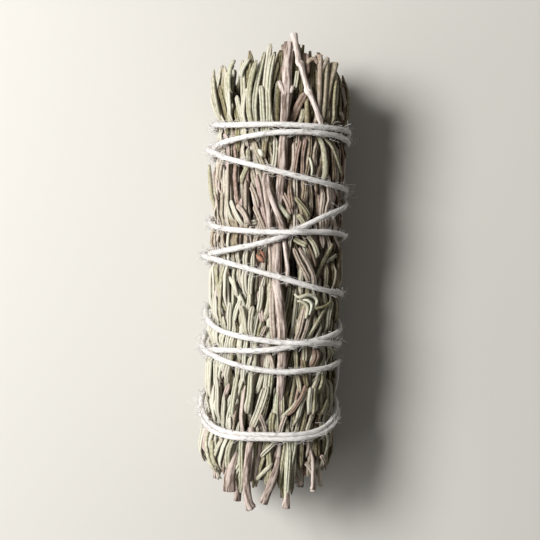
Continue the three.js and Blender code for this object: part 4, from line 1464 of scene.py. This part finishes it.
def knotPart(lay):
    turn = math.radians(knot["angle"])
    center = onBundle(turn, knot["height"], twineOutline(turn) + knot["lift"])
    axis = unit(np.array([-math.sin(turn), knot["slant"], math.cos(turn)]))
    first = unit(np.cross(axis, [0, 1, 0]))
    second = np.cross(axis, first)
    around = np.linspace(0, knot["halfTurns"] * np.pi, knot["steps"])
    circle = np.cos(around)[:, None] * first + np.sin(around)[:, None] * second
    path = center + knot["radius"] * circle + knot["rise"] * (around / np.pi - 1)[:, None] * axis
    radius, sides = twineSize["radius"] * 0.97, twineSize["sides"]
    return tubePart(path, radius, sides, circle, (0, 0), twineSize["tone"], 9.0, lay)


makeTwine()
print("twine made")


# Camera straight above, and a soft studio
view = {"height": 240, "sensor": 36, "imageWidth": 118.8, "lean": 2.62, "aside": (-1.1, 0.2)}


def placeCamera():
    data = bpy.data.cameras.new("photoCamera")
    data.sensor_width = view["sensor"]
    data.lens = view["sensor"] * view["height"] / view["imageWidth"]
    data.clip_start = 0.01
    camera = bpy.data.objects.new("photoCamera", data)
    scene.collection.objects.link(camera)
    camera.location = (
        (bundle["axisX"] + view["aside"][0]) / 1000,
        (bundle["middleY"] + view["aside"][1]) / 1000,
        (bundle["axisZ"] + view["height"]) / 1000,
    )
    camera.rotation_euler = (0, 0, math.radians(view["lean"]))
    scene.camera = camera


# Places and sizes in millimetres, power in watts
studio = {
    "key": {"place": (-330, 110, 390), "size": 240, "power": 4.3},
    "fill": {"place": (-420, -160, 200), "size": 400, "power": 0.8},
    "aim": (0, 0, 12),
    "worldColor": "#fffdfa",
    "worldStrength": 0.145,
    "floorColor": "#c3c0b9",
    "floorRoughness": 0.9,
    "floorHalf": 1500,
}


def placeLight(name, setting):
    data = bpy.data.lights.new(name, "AREA")
    data.shape = "DISK"
    data.size = setting["size"] / 1000
    data.energy = setting["power"]
    light = bpy.data.objects.new(name, data)
    scene.collection.objects.link(light)
    place = np.array(setting["place"]) / 1000
    light.location = place
    aim = np.array(studio["aim"]) / 1000 - place
    across = math.hypot(aim[0], aim[1])
    light.rotation_euler = (math.atan2(across, -aim[2]), 0, math.atan2(aim[1], aim[0]) - math.pi / 2)


def mattCard(tree):
    # Card, pressed smooth and uncoated: even, pale and without shine
    return {"Base Color": linearColor(studio["floorColor"]), "Roughness": studio["floorRoughness"]}


def makeFloor():
    half = studio["floorHalf"] / 1000
    corners = [(-half, -half, 0), (half, -half, 0), (half, half, 0), (-half, half, 0)]
    mesh = bpy.data.meshes.new("paleFloor")
    mesh.from_pydata(corners, [], [(0, 1, 2, 3)])
    floor = bpy.data.objects.new("paleFloor", mesh)
    scene.collection.objects.link(floor)
    mesh.materials.append(makeMaterial("mattCard", mattCard))


def setWorld():
    world = bpy.data.worlds.new("softStudio")
    scene.world = world
    world.use_nodes = True
    background = world.node_tree.nodes["Background"]
    background.inputs["Color"].default_value = linearColor(studio["worldColor"])
    background.inputs["Strength"].default_value = studio["worldStrength"]


placeCamera()
placeLight("keyLight", studio["key"])
placeLight("fillLight", studio["fill"])
makeFloor()
setWorld()
scene.view_settings.view_transform = "Standard"
print("camera, lights and floor placed")
